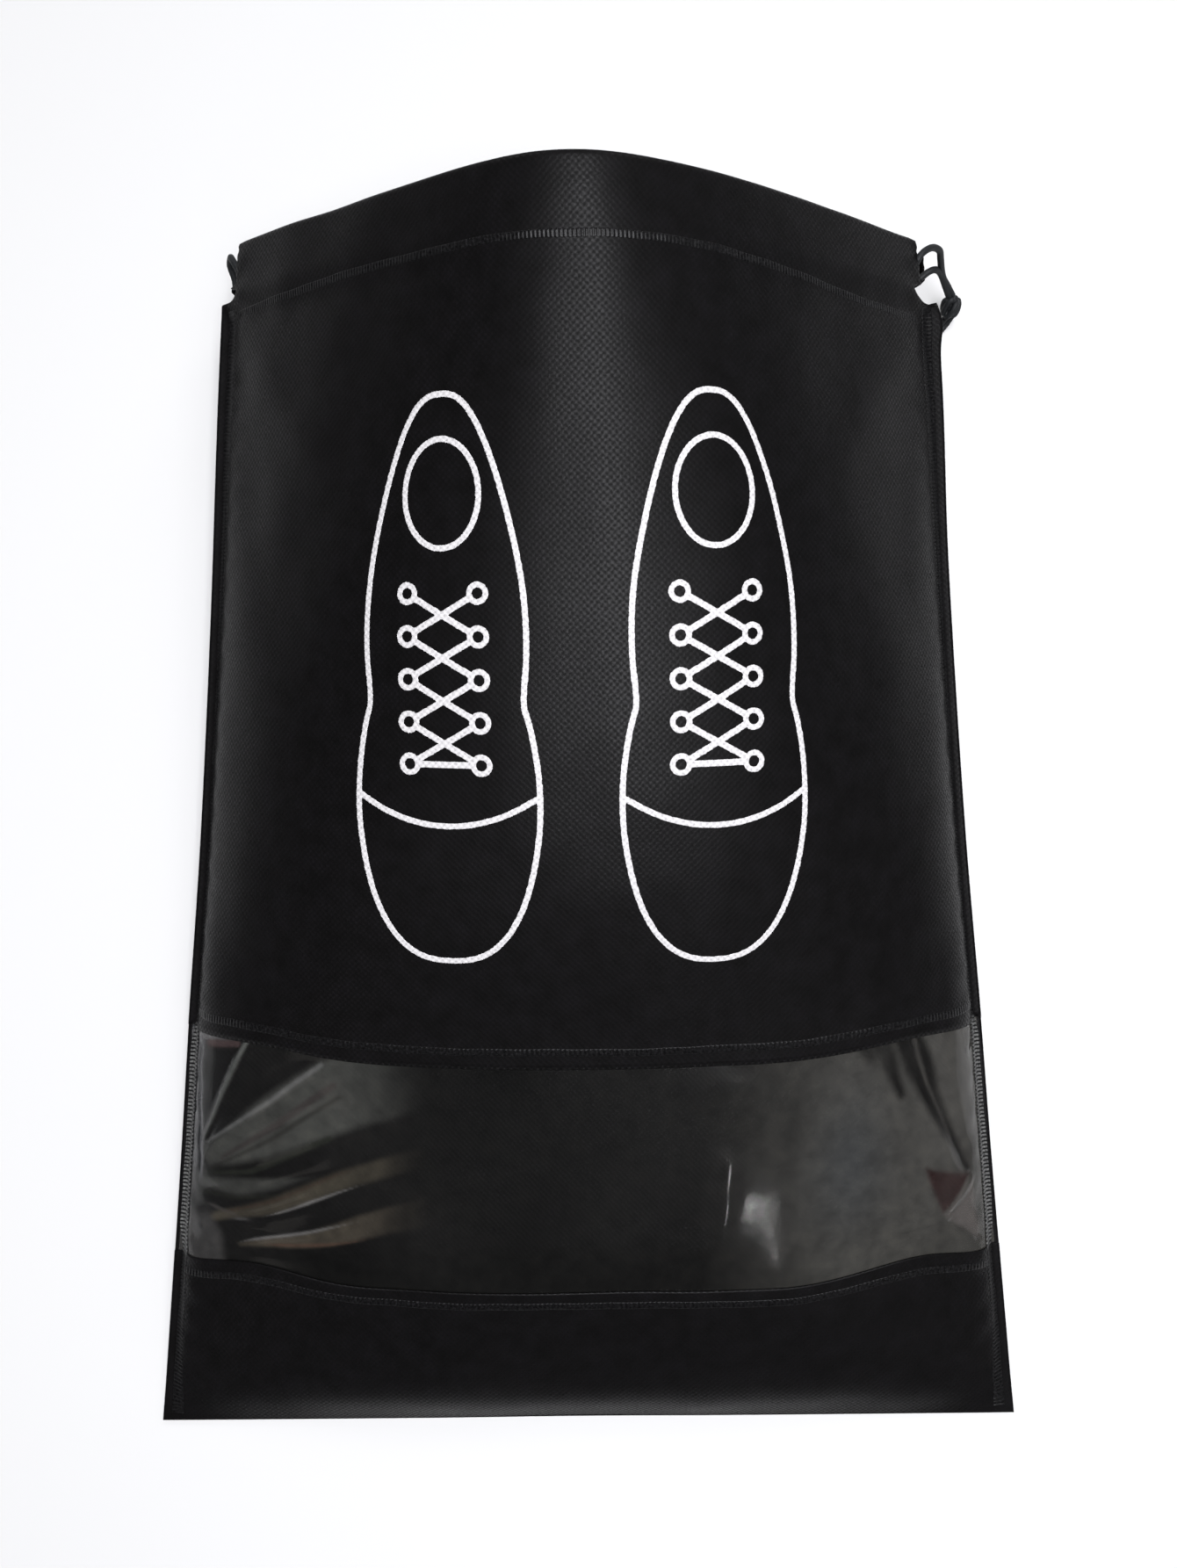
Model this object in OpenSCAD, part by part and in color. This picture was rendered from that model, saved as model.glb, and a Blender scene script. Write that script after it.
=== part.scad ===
// Drawstring shoe bag of spunbond non-woven fabric with a clear film window.
// The bag lies on its back panel with the front held up in an open, filled
// shape and its mouth towards +Y. Millimetres. z = 0 is the surface it lies on,
// x = 0 the centre line, y = 0 the middle of its length.

/* [Bag] */
// Flat length of the bag from bottom fold to mouth
bag_len = 440; // [436:1:444]
// Thickness of the non-woven fabric as modelled
fabric_t = 0.6; // [0.5:0.05:0.7]
// Thickness of the clear window film as modelled
film_t = 0.4; // [0.3:0.05:0.5]
// Width of the welded edge along each side
side_weld = 4; // [3:0.5:5]

/* [Window] */
// Height of the lower band, from the bottom fold to the window
band_h = 64; // [55:1:75]
// Height of the clear window
window_h = 86; // [70:1:100]
// Width of the weld strip along the window edges
weld_w = 4; // [3:0.5:5]

/* [Drawstring] */
// Height of the drawstring channel under the mouth edge
channel_h = 23; // [20:1:26]
// How deep the channel sleeve stands out of the fabric
channel_d = 4.6; // [4.2:0.1:5.2]
// Diameter of the cord
cord_d = 2.5; // [2:0.1:2.7]
// Diameter of the knot that joins the two cord ends
knot_d = 8; // [7:0.5:9]
// Length of the knot
knot_l = 9; // [8:0.5:11]

/* [Print] */
// Width of the printed line
line_w = 3; // [2:0.5:4]
// Length of each printed shoe outline
shoe_l = 182; // [160:2:190]
// Greatest width of each printed shoe outline
shoe_w = 75; // [60:1:78]
// Distance from the centre line to the middle of each shoe outline
shoe_x = 43.5; // [42:0.5:48]

/* [Hidden] */

// Stations along the bag, each [distance from the bottom fold, half width,
// side seam height, crown height, side seam y, crown y].
ST = [[0, 160, 0.6, 0.9, 0, 0],
      [15, 158.6, 2, 12, 14.8, 10.4],
      [30, 157.3, 3.5, 19, 29.7, 23.5],
      [62, 154.6, 6.5, 30, 61.4, 53.3],
      [105, 151, 10.8, 43, 104, 94.4],
      [150, 147.5, 15.2, 54.7, 148.7, 137.8],
      [220, 141.3, 22.8, 79.4, 218, 203.3],
      [300, 136.8, 28.2, 98, 297.7, 281],
      [380, 134, 31.5, 110.2, 377.6, 360],
      [440, 130.8, 35.5, 121.8, 437.3, 419]];
y_mid = 220;                       // middle of the length, from the bottom fold
hem_v = bag_len - channel_h;       // weld line under the channel
win_lo = band_h;
win_hi = band_h + window_h;
chan_t = 0.956;                    // the front channel stops short of the side seams
chan_b = 0.956;                    // and so does the rear channel
cord_v = bag_len - channel_h / 2;  // line of the cord inside the channel
cord_n = -(fabric_t / 2 + (channel_d - 2 * fabric_t) / 2);

// Smooth curve through the stations, column k, at distance v.
function seg(v, i = 0) = (i >= len(ST) - 2 || v < ST[i + 1][0]) ? i : seg(v, i + 1);
function tan_at(i, k) = i == 0 ? (ST[1][k] - ST[0][k]) / (ST[1][0] - ST[0][0])
    : i == len(ST) - 1 ? (ST[i][k] - ST[i - 1][k]) / (ST[i][0] - ST[i - 1][0])
    : (ST[i + 1][k] - ST[i - 1][k]) / (ST[i + 1][0] - ST[i - 1][0]);
function at(v, k) = let (i = seg(v), d = ST[i + 1][0] - ST[i][0], s = (v - ST[i][0]) / d,
        a = ST[i][k], b = ST[i + 1][k], m = tan_at(i, k) * d, n = tan_at(i + 1, k) * d)
    (2 * s * s * s - 3 * s * s + 1) * a + (s * s * s - 2 * s * s + s) * m
    + (3 * s * s - 2 * s * s * s) * b + (s * s * s - s * s) * n;

// Height share across the front, 1 at the crown and 0 at the side seam. It is
// full and round at the base and tent-like at the mouth.
round_c = 0.06;
function soft(t) = (sqrt(t * t + round_c * round_c) - round_c)
    / (sqrt(1 + round_c * round_c) - round_c);
function mouth_k(v) = max(0, min(1, (v - 147) / (bag_len - 147)));
function crown_pow(v) = 2 - 0.5 * mouth_k(v) - 0.38 * pow(mouth_k(v), 3);
function rise(v, t) = pow(max(0, 1 - pow(soft(abs(t)), crown_pow(v))),
                          0.49 + 0.51 * mouth_k(v));
function half_w(v) = at(v, 1) - side_weld - fabric_t / 2;

// Middle surface of the front sheet: t runs from -1 to 1 across the bag.
function front(v, t) = let (r = rise(v, t), s = at(v, 2) + fabric_t / 2)
    [half_w(v) * t, at(v, 4) + (at(v, 5) - at(v, 4)) * r - y_mid,
     s + (at(v, 3) - s) * r];

// Middle surface of the back sheet: flat on the ground, turning up to the seams.
flat_n = 6;
function back(v, t) = let (a = 90 * t, c = pow(cos(a), 2 / flat_n),
        s = sign(t) * pow(abs(sin(a)), 2 / flat_n), top = at(v, 2) - fabric_t / 2)
    [half_w(v) * s, at(v, 4) + (v - at(v, 4)) * c - y_mid,
     top - (top - fabric_t / 2) * c];

function surf(side, v, t) = side > 0 ? front(v, t) : back(v, t);
function unit(a) = a / norm(a);
// Outward normal of either sheet.
function out(side, v, t) = let (e = 0.004, h = 0.5,
        t0 = max(-1, t - e), t1 = min(1, t + e), v0 = max(0, v - h), v1 = min(bag_len, v + h),
        n = cross(surf(side, v, t1) - surf(side, v, t0), surf(side, v1, t) - surf(side, v0, t)))
    unit(side * n);
function off(side, v, t, n) = surf(side, v, t) + n * out(side, v, t);

// Even stepping that is finer near the side seams.
function spread(i, n) = let (x = 2 * i / n - 1) sign(x) * sin(90 * pow(abs(x), 0.9));

// One sheet between distances v0 and v1 as a closed shell.
module sheet(side, v0, v1, nv, nt, th) {
    pts = [for (k = [0, 1]) for (i = [0 : nv]) for (j = [0 : nt])
        off(side, v0 + (v1 - v0) * i / nv, side > 0 ? spread(j, nt) : 2 * j / nt - 1,
            (0.5 - k) * th)];
    w = nt + 1;
    m = (nv + 1) * w;
    top = [for (i = [0 : nv - 1]) for (j = [0 : nt - 1]) for (q = [0, 1])
        let (a = i * w + j)
        q == 0 ? [a, a + w, a + w + 1] : [a, a + w + 1, a + 1]];
    bot = [for (f = top) [f[2] + m, f[1] + m, f[0] + m]];
    ends = concat(
        [for (j = [0 : nt - 1]) [j, j + 1, j + 1 + m, j + m]],
        [for (j = [0 : nt - 1]) let (a = nv * w + j) [a + 1, a, a + m, a + 1 + m]],
        [for (i = [0 : nv - 1]) let (a = i * w) [a + w, a, a + m, a + w + m]],
        [for (i = [0 : nv - 1]) let (a = i * w + nt) [a, a + w, a + w + m, a + m]]);
    f = concat(top, bot, ends);
    polyhedron(pts, side > 0 ? f : [for (g = f) [for (k = [len(g) - 1 : -1 : 0]) g[k]]],
               convexity = 8);
}

// Sweep of closed rings of n points each.
module loft(rings) {
    n = len(rings[0]);
    r = len(rings);
    polyhedron([for (g = rings) each g],
        concat([[for (i = [n - 1 : -1 : 0]) i]],
               [for (k = [0 : r - 2]) for (i = [0 : n - 1]) for (q = [0, 1])
                   let (a = k * n + i, b = k * n + (i + 1) % n)
                   q == 0 ? [a, b, b + n] : [a, b + n, a + n]],
               [[for (i = [0 : n - 1]) (r - 1) * n + i]]), convexity = 8);
}

// Closed sweep, the last ring joined to the first.
module loop_loft(rings) {
    n = len(rings[0]);
    r = len(rings);
    polyhedron([for (g = rings) each g],
        [for (k = [0 : r - 1]) for (i = [0 : n - 1]) for (q = [0, 1])
            let (a = k * n + i, b = k * n + (i + 1) % n,
                 c = ((k + 1) % r) * n + i, d = ((k + 1) % r) * n + (i + 1) % n)
            q == 0 ? [a, b, d] : [a, d, c]], convexity = 8);
}

// Welded edge of both sheets along one side, from the fold to the channel.
module side_strip(s, nv = 26) {
    rings = [for (i = [0 : nv]) let (v = hem_v * i / nv, x0 = at(v, 1) - side_weld + 0.02,
            x1 = at(v, 1), y = at(v, 4) - y_mid, z = at(v, 2))
        [[s * x0, y, z - fabric_t], [s * x1, y, z - fabric_t],
         [s * x1, y, z + fabric_t], [s * x0, y, z + fabric_t]]];
    loft(s > 0 ? rings : [for (g = rings) [g[3], g[2], g[1], g[0]]]);
}

// Thin weld strip lying on a sheet along the line at distance v.
module weld_strip(side, v, n0, n1, tm, nt = 30) {
    loft([for (j = [0 : nt]) let (t = tm * (side > 0 ? spread(j, nt) : 2 * j / nt - 1))
        [off(side, v - weld_w / 2, t, n0), off(side, v - weld_w / 2, t, n1),
         off(side, v + weld_w / 2, t, n1), off(side, v + weld_w / 2, t, n0)]]);
}

// Hollow drawstring sleeve: outer layer flush with the sheet, inner layer
// standing off it, welded together along the hem line and open at both ends.
function sleeve_o() = let (a = channel_h / 2, f = fabric_t / 2)
    concat([for (i = [0 : 6]) let (p = 30 * i)
                [cord_v + a * cos(p), -f - (channel_d - fabric_t) * sin(p)]],
           [[cord_v - a, f], [cord_v, f], [cord_v + a, f]]);
function sleeve_i() = let (a = channel_h / 2 - 0.8, f = fabric_t / 2)
    concat([for (i = [0 : 6]) let (p = 30 * i)
                [cord_v + a * cos(p), -f - 0.01 - (channel_d - 2 * fabric_t) * sin(p)]],
           [[cord_v - a * 0.6, -f], [cord_v, -f], [cord_v + a * 0.6, -f]]);
module sleeve(side, nt = 28) {
    n = 10;
    r = nt + 1;
    tt = [for (j = [0 : nt]) side > 0 ? chan_t * spread(j, nt) : chan_b * (2 * j / nt - 1)];
    po = [for (t = tt) for (p = sleeve_o()) off(side, min(bag_len, p[0]), t, p[1])];
    pi = [for (t = tt) for (p = sleeve_i()) off(side, p[0], t, p[1])];
    m = n * r;
    wall = [for (k = [0 : r - 2]) for (i = [0 : n - 1]) for (q = [0, 1])
        let (a = k * n + i, b = k * n + (i + 1) % n)
        q == 0 ? [a, b + n, b] : [a, a + n, b + n]];
    inner = [for (f = wall) [f[2] + m, f[1] + m, f[0] + m]];
    cap0 = [for (i = [0 : n - 1]) let (b = (i + 1) % n) [i, b, b + m, i + m]];
    cap1 = [for (i = [0 : n - 1]) let (b = (i + 1) % n, s = (r - 1) * n)
        [s + b, s + i, s + i + m, s + b + m]];
    f = concat(wall, inner, cap0, cap1);
    polyhedron(concat(po, pi),
        side > 0 ? f : [for (g = f) [for (k = [len(g) - 1 : -1 : 0]) g[k]]], convexity = 8);
}

// Round cord swept along a route of points.
cord_s = 8;
function dir(p, i) = unit(p[min(len(p) - 1, i + 1)] - p[max(0, i - 1)]);
function cord_ring(c, d, r) = let (u = unit(cross(d, abs(d[1]) > 0.9 ? [1, 0, 0] : [0, 1, 0])),
        w = cross(d, u))
    [for (i = [0 : cord_s - 1]) c + r * (cos(360 * i / cord_s) * u + sin(360 * i / cord_s) * w)];
module cord(p, r = cord_d / 2) {
    loft([for (i = [len(p) - 1 : -1 : 0]) cord_ring(p[i], dir(p, i), r)]);
}

// Free stretches of the cord outside the channel: where it leaves the sleeves,
// the two strands on the right, the knot and the two tails.
exit_t = 0.972;
front_exit = off(1, cord_v, exit_t, cord_n);
rear_exit = off(-1, cord_v, exit_t, cord_n);
route_front = [front_exit, [126.1, 209, 40.4], [130.4, 212.4, 38.4], [134.4, 213.4, 34.6],
               [137.2, 212.8, 30], [139, 211.6, 25.4], [140.9, 210.3, 21], [143.6, 208.6, 16.8],
               [145.9, 206.5, 13.3]];
route_rear = [rear_exit, [127, 207.6, 28.6], [129.3, 209.6, 30], [132.4, 211, 28.4],
              [135.4, 211.2, 25], [138, 210.5, 20.8], [140.6, 208.3, 16.9],
              [143, 206.6, 13.8], [145, 205, 12]];
route_bight = [[-125.8, 207.6, 39.6], [-127.8, 208.6, 36], [-128.3, 208.6, 32],
               [-127.3, 207.6, 28.6]];
knot_c = [146.3, 203.4, 9.8];
tail_a = [[146.2, 201.2, 7], [145.6, 198.6, 4.2], [144.4, 196, 2.3], [142.6, 192.4, 1.4],
          [139.8, 186.5, 1.3], [137, 180, 1.3]];
tail_b = [[148.8, 201.2, 6.2], [148.5, 198.4, 3.2], [147.3, 195, 1.6], [145.4, 190.3, 1.3],
          [142.8, 183.8, 1.3]];

// Flat outline of a plain low shoe seen from above, pointing towards the base:
// a in degrees around it, with the heel at a = 0.
shoe_mid = 281;
function shoe_pt(a) = let (c = cos(a), w = 0.5 * shoe_w * (0.81 - 0.19 * c)
        - 5 * pow(max(0, 1 - abs(c + 0.05) / 0.5), 2))
    [sign(sin(a)) * w * pow(abs(sin(a)), 0.8), shoe_mid + 0.5 * shoe_l * c];
module shoe_print(s, n = 44) {
    p = [for (i = [0 : n - 1]) shoe_pt(360 * i / n)];
    rings = [for (i = [0 : n - 1]) let (a = p[i], d = unit(p[(i + 1) % n] - p[(i + n - 1) % n]),
            q = [-d[1], d[0]] * line_w / 2)
        [for (k = [[-1, 0.55], [-1, 0.85], [1, 0.85], [1, 0.55]])
            off(1, a[1] + k[0] * q[1], (s * shoe_x + a[0] + k[0] * q[0]) / 144, k[1])]];
    loop_loft(rings);
}

// ---- sub-parts ----
module back_panel() { color([0.09, 0.09, 0.10]) sheet(-1, 0, hem_v, 18, 40, fabric_t); }
module lower_band() { color([0.09, 0.09, 0.10]) sheet(1, 0, win_lo, 7, 32, fabric_t); }
module window_film() { color([0.25, 0.27, 0.30, 0.6]) sheet(1, win_lo, win_hi, 7, 32, film_t); }
module front_upper_panel() { color([0.10, 0.10, 0.11]) sheet(1, win_hi, hem_v, 18, 32, fabric_t); }
module front_channel() { color([0.12, 0.12, 0.13]) sleeve(1); }
module rear_channel() { color([0.12, 0.12, 0.13]) sleeve(-1); }
module left_side_seam() { color([0.15, 0.15, 0.16]) side_strip(-1); }
module right_side_seam() { color([0.15, 0.15, 0.16]) side_strip(1); }
module window_top_seam() { color([0.17, 0.17, 0.18]) weld_strip(1, win_hi + 6, 0.5, 0.8, 0.98); }
module window_bottom_seam() { color([0.17, 0.17, 0.18]) weld_strip(1, win_lo - 5, 0.5, 0.8, 0.98); }
module front_hem_seam() { color([0.17, 0.17, 0.18]) weld_strip(1, hem_v - 2.2, 0.5, 0.8, 0.95); }
module rear_hem_seam() { color([0.17, 0.17, 0.18]) weld_strip(-1, hem_v - 2.2, -0.8, -0.5, 0.9); }
module print_left_shoe() { color([0.92, 0.91, 0.92]) shoe_print(-1); }
module print_right_shoe() { color([0.92, 0.91, 0.92]) shoe_print(1); }
module drawstring_front_run() {
    color([0.07, 0.07, 0.08])
    cord([for (j = [0 : 28]) off(1, cord_v, j == 0 ? -exit_t : j == 28 ? exit_t
        : chan_t * spread(j, 28), cord_n)]);
}
module drawstring_rear_run() {
    color([0.07, 0.07, 0.08])
    cord([for (j = [0, 1, 2, 3, 4, 6, 9, 12, 16, 19, 22, 24, 25, 26, 27, 28])
        off(-1, cord_v, j == 0 ? -exit_t : j == 28 ? exit_t : chan_b * (j / 14 - 1), cord_n)]);
}
module drawstring_left_bight() {
    color([0.07, 0.07, 0.08])
    cord(concat([off(1, cord_v, -exit_t, cord_n)], route_bight, [off(-1, cord_v, -exit_t, cord_n)]));
}
module drawstring_front_strand() { color([0.07, 0.07, 0.08]) cord(route_front); }
module drawstring_rear_strand() { color([0.07, 0.07, 0.08]) cord(route_rear); }
module drawstring_knot() {
    color([0.07, 0.07, 0.08])
    translate(knot_c) rotate([-38, 0, 0])
    rotate_extrude($fn = 24)
    polygon([[0, -knot_l / 2], [knot_d * 0.26, -knot_l * 0.47], [knot_d * 0.42, -knot_l * 0.32],
             [knot_d / 2, -knot_l * 0.1], [knot_d / 2, knot_l * 0.12], [knot_d * 0.41, knot_l * 0.33],
             [knot_d * 0.24, knot_l * 0.47], [0, knot_l / 2]]);
}
module drawstring_tails() { color([0.07, 0.07, 0.08]) { cord(tail_a); cord(tail_b); } }

back_panel();
lower_band();
window_film();
front_upper_panel();
front_channel();
rear_channel();
left_side_seam();
right_side_seam();
window_top_seam();
window_bottom_seam();
front_hem_seam();
rear_hem_seam();
print_left_shoe();
print_right_shoe();
drawstring_front_run();
drawstring_rear_run();
drawstring_left_bight();
drawstring_front_strand();
drawstring_rear_strand();
drawstring_knot();
drawstring_tails();
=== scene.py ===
import math

import bpy
import numpy as np
from mathutils import Matrix


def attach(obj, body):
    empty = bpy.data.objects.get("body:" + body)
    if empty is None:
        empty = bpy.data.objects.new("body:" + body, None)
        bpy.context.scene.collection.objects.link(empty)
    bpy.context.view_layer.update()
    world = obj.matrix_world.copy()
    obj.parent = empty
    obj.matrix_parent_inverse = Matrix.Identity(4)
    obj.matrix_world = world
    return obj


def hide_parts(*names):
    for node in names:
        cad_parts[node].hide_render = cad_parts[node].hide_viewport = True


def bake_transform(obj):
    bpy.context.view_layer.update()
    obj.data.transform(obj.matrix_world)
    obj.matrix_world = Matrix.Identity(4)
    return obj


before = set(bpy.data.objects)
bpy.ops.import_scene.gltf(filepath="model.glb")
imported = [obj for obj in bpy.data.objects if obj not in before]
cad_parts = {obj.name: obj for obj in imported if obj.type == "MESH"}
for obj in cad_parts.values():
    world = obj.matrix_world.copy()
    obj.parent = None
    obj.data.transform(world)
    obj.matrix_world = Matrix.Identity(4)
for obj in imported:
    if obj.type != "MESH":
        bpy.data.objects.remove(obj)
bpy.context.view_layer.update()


MM = 0.001
scene = bpy.context.scene
scene.view_settings.view_transform = "Standard"

# ------------------------------------------------------------------ camera
TILT, ROLL = 0.0653, math.radians(-0.53)
cam_data = bpy.data.cameras.new("camera")
cam_data.lens = 27.03
cam_data.sensor_width = 36
cam_data.clip_start = 0.01
cam = bpy.data.objects.new("camera", cam_data)
scene.collection.objects.link(cam)
cam.matrix_world = Matrix.Translation((0.0022, -0.01183, 0.45834)) @ (
    Matrix.Rotation(TILT, 3, "X") @ Matrix.Rotation(ROLL, 3, "Z")
).to_4x4()
scene.camera = cam

# ------------------------------------------------------------------ shape of the open bag, in mm
# Stations: distance from the bottom fold, half width, seam height, crown height,
# seam y, crown y. They are part.scad's own.
ST = np.array([
    [0, 160, 0.6, 0.9, 0, 0], [15, 158.6, 2, 12, 14.8, 10.4], [30, 157.3, 3.5, 19, 29.7, 23.5],
    [62, 154.6, 6.5, 30, 61.4, 53.3], [105, 151, 10.8, 43, 104, 94.4],
    [150, 147.5, 15.2, 54.7, 148.7, 137.8], [220, 141.3, 22.8, 79.4, 218, 203.3],
    [300, 136.8, 28.2, 98, 297.7, 281], [380, 134, 31.5, 110.2, 377.6, 360],
    [440, 130.8, 35.5, 121.8, 437.3, 419]])
LEN, HALF, YMID, FT, SW = 440.0, 160.0, 220.0, 0.6, 4.0
HEM_V, WIN_LO, WIN_HI = 417.0, 64.0, 150.0
CORD_V = 428.5
CORD_N = -(FT / 2 + (4.6 - 2 * FT) / 2)
FAB = 0.45     # thickness of a sheet
LAY = 0.24     # middle of a sheet above or below the seam it meets the other in
BODY_A, BODY_B = "bag", "drawstring"


def at(v, k):
    """Hermite curve through the stations, as in part.scad."""
    v = np.asarray(v, float)
    x, y = ST[:, 0], ST[:, k]
    m = np.empty(len(x))
    m[0] = (y[1] - y[0]) / (x[1] - x[0])
    m[-1] = (y[-1] - y[-2]) / (x[-1] - x[-2])
    m[1:-1] = (y[2:] - y[:-2]) / (x[2:] - x[:-2])
    i = np.clip(np.searchsorted(x, v, side="right") - 1, 0, len(x) - 2)
    d = x[i + 1] - x[i]
    s = (v - x[i]) / d
    return ((2 * s**3 - 3 * s**2 + 1) * y[i] + (s**3 - 2 * s**2 + s) * m[i] * d
            + (3 * s**2 - 2 * s**3) * y[i + 1] + (s**3 - s**2) * m[i + 1] * d)


def smooth01(x):
    x = np.clip(x, 0, 1)
    return x * x * (3 - 2 * x)


def rise(v, t):
    k = min(1.0, max(0.0, (v - 147) / (LEN - 147)))
    rc = 0.06 + 0.08 * k ** 3
    s = (np.sqrt(t * t + rc * rc) - rc) / (math.sqrt(1 + rc * rc) - rc)
    return np.maximum(0, 1 - s ** (2 - 0.5 * k - 0.38 * k ** 3)) ** (0.49 + 0.51 * k + 0.03 * k ** 3)


def smooth_line(p, sigma_mm, step):
    """Rounds the corners of an evenly spaced line whose first point is on the mirror plane."""
    r = int(4 * sigma_mm / step)
    w = np.exp(-0.5 * (np.arange(-r, r + 1) * step / sigma_mm) ** 2)
    w /= w.sum()
    head = p[1:r + 1][::-1] * np.array([-1, 1, 1])
    tail = 2 * p[-1] - p[-r - 1:-1][::-1]
    q = np.vstack([head, p, tail])
    out = np.stack([np.convolve(q[:, k], w, "valid") for k in range(3)], 1)
    out[0, 0] = 0
    return out


def resample(p, n_or_s):
    d = np.concatenate([[0], np.cumsum(np.linalg.norm(np.diff(p, axis=0), axis=1))])
    s = n_or_s * d[-1]
    return np.stack([np.interp(s, d, p[:, k]) for k in range(3)], 1)


UG = np.arange(-160, 161, 1.0)
VG = np.arange(0, 441, 1.0)


def half_section(v, front):
    open_k = smooth01((v - 409) / 12)          # past the shoulder the sheets are not joined
    W, S, H, YS, YC = (float(at(v, k)) for k in range(1, 6))
    hw = W - (SW + 0.3) * (1 - open_k)
    if front:
        t = np.sin(np.linspace(0, np.pi / 2, 160))
        r = rise(v, t)
        s0 = S + LAY
        p = np.stack([hw * t, YS + (YC - YS) * r, s0 + (max(H, s0) - s0) * r], 1)
    else:
        a = np.linspace(0, np.pi / 2, 200)
        e = 1 / 3 + 0.3 * float(smooth01((v - 372) / 48))     # rounder where the mouth is held open
        c, s = np.cos(a) ** e, np.sin(a) ** e
        c[-1] = 0
        s0 = max(S - LAY, LAY)
        p = np.stack([hw * s, YS + (v - YS) * c, s0 - (s0 - LAY) * c], 1)
    if open_k < 1:
        f = np.linspace(0, 1, 10)[1:, None]
        p = np.vstack([p, p[-1] + f * np.array([W - hw, 0, 0])])
    p = resample(p, np.linspace(0, 1, 401))
    step = 0.42
    p = smooth_line(p, 1.6 if front else 1.3, step)
    return resample(p, np.linspace(0, 1, 161))


def base(front):
    g = np.empty((len(VG), len(UG), 3))
    for i, v in enumerate(VG):
        h = half_section(v, front)
        g[i, 160:] = h
        g[i, :161] = h[::-1] * np.array([-1, 1, 1])
        if front:                              # the crown leans a little to the left at the mouth
            k = max(0.0, (v - 147) / (LEN - 147)) ** 3
            z = g[i, :, 2]
            g[i, :, 0] -= 3.0 * k * ((z - z[0]) / max(z[160] - z[0], 1e-6)).clip(0, 1)
    g[:, :, 1] -= YMID
    # even out along the length
    k = np.array([1, 4, 6, 4, 1]) / 16
    pad = np.concatenate([2 * g[:1] - g[2:0:-1], g, 2 * g[-1:] - g[-2:-4:-1]])
    return sum(k[j] * pad[j:j + len(VG)] for j in range(5))


def normals(g):
    du, dv = np.gradient(g, axis=1), np.gradient(g, axis=0)
    n = np.cross(du, dv)
    return n / np.linalg.norm(n, axis=2, keepdims=True)


rng = np.random.default_rng(7)


def waves(u, v, n, lo, hi, seed):
    """Sum of n soft waves with wavelengths lo..hi mm, about -1..1."""
    r = np.random.default_rng(seed)
    out = np.zeros(np.broadcast(u, v).shape)
    for _ in range(n):
        a, w, ph = r.uniform(0, 2 * np.pi), r.uniform(lo, hi), r.uniform(0, 2 * np.pi)
        out = out + np.sin(2 * np.pi * (u * np.cos(a) + v * np.sin(a)) / w + ph)
    return out / math.sqrt(n) / 1.4


def bump(x, c, w):
    return np.exp(-0.5 * ((x - c) / w) ** 2)


def crease(u, v, a, b, w, amp, soft_end=12.0):
    """A soft fold running from a to b on the sheet, w wide."""
    a, b = np.array(a, float), np.array(b, float)
    d = b - a
    ln = np.hypot(*d)
    d = d / ln
    s = (u - a[0]) * d[0] + (v - a[1]) * d[1]
    q = -(u - a[0]) * d[1] + (v - a[1]) * d[0]
    along = smooth01(s / soft_end + 0.5) * smooth01((ln - s) / soft_end + 0.5)
    return amp * np.exp(-0.5 * (q / w) ** 2) * along


U2, V2 = np.meshgrid(UG, VG)
edge = HALF - np.abs(U2)                       # distance from the side seam


def front_folds(u, v):
    e = HALF - np.abs(u)
    out = 0.5 * waves(u, v, 7, 70, 150, 3) * smooth01(e / 30) * smooth01(v / 30)
    out = out + 0.18 * waves(u, v, 9, 22, 45, 4) * smooth01(e / 12) * smooth01(v / 12)
    # puckers where the side weld grips the sheet
    out = out + 0.28 * np.sin(2 * np.pi * v / 13.0 + 1.3 * np.sin(v / 31.0) + np.sign(u)) \
        * bump(e, 9.0, 4.0) * smooth01(v / 40)
    # light puckers along the hem weld and the window welds
    out = out + 0.16 * waves(u, v * 0 + 3.0, 8, 9, 24, 9) * bump(v, 411, 5)
    out = out + 0.14 * waves(u, v * 0 + 9.0, 8, 9, 26, 10) * bump(v, 163, 6)
    # soft tension folds from the shoulders, where the cord leaves the channel
    for s in (-1, 1):
        out = out + crease(u, v, (s * 150, 408), (s * 92, 352), 7, 0.7, 26)
        out = out + crease(u, v, (s * 151, 398), (s * 118, 300), 8, -0.5, 30)
    out = out + crease(u, v, (-148, 150), (-95, 196), 7, -0.55, 24)
    out = out + crease(u, v, (146, 156), (84, 214), 8, -0.5, 24)
    # the lower band sags a little between the toes
    out = out + crease(u, v, (-120, 30), (-60, 66), 8, -0.5, 20)
    out = out + crease(u, v, (118, 28), (66, 60), 8, 0.45, 20)
    out = out - 0.9 * bump(u, 0, 26) * bump(v, 45, 34)
    out = out + 2.0 * bump(u, 50, 30) * smooth01((v - 170) / 170)
    return out


def ridge(u, v, a, b, w, amp, soft_end=4.0):
    """A sharp crease with straight flanks from a to b."""
    a, b = np.array(a, float), np.array(b, float)
    d = b - a
    ln = np.hypot(*d)
    d = d / ln
    s = (u - a[0]) * d[0] + (v - a[1]) * d[1]
    q = -(u - a[0]) * d[1] + (v - a[1]) * d[0]
    along = smooth01(s / soft_end + 0.5) * smooth01((ln - s) / soft_end + 0.5)
    return amp * np.maximum(0, 1 - np.sqrt(q * q + 0.16) / w) * along


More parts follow.
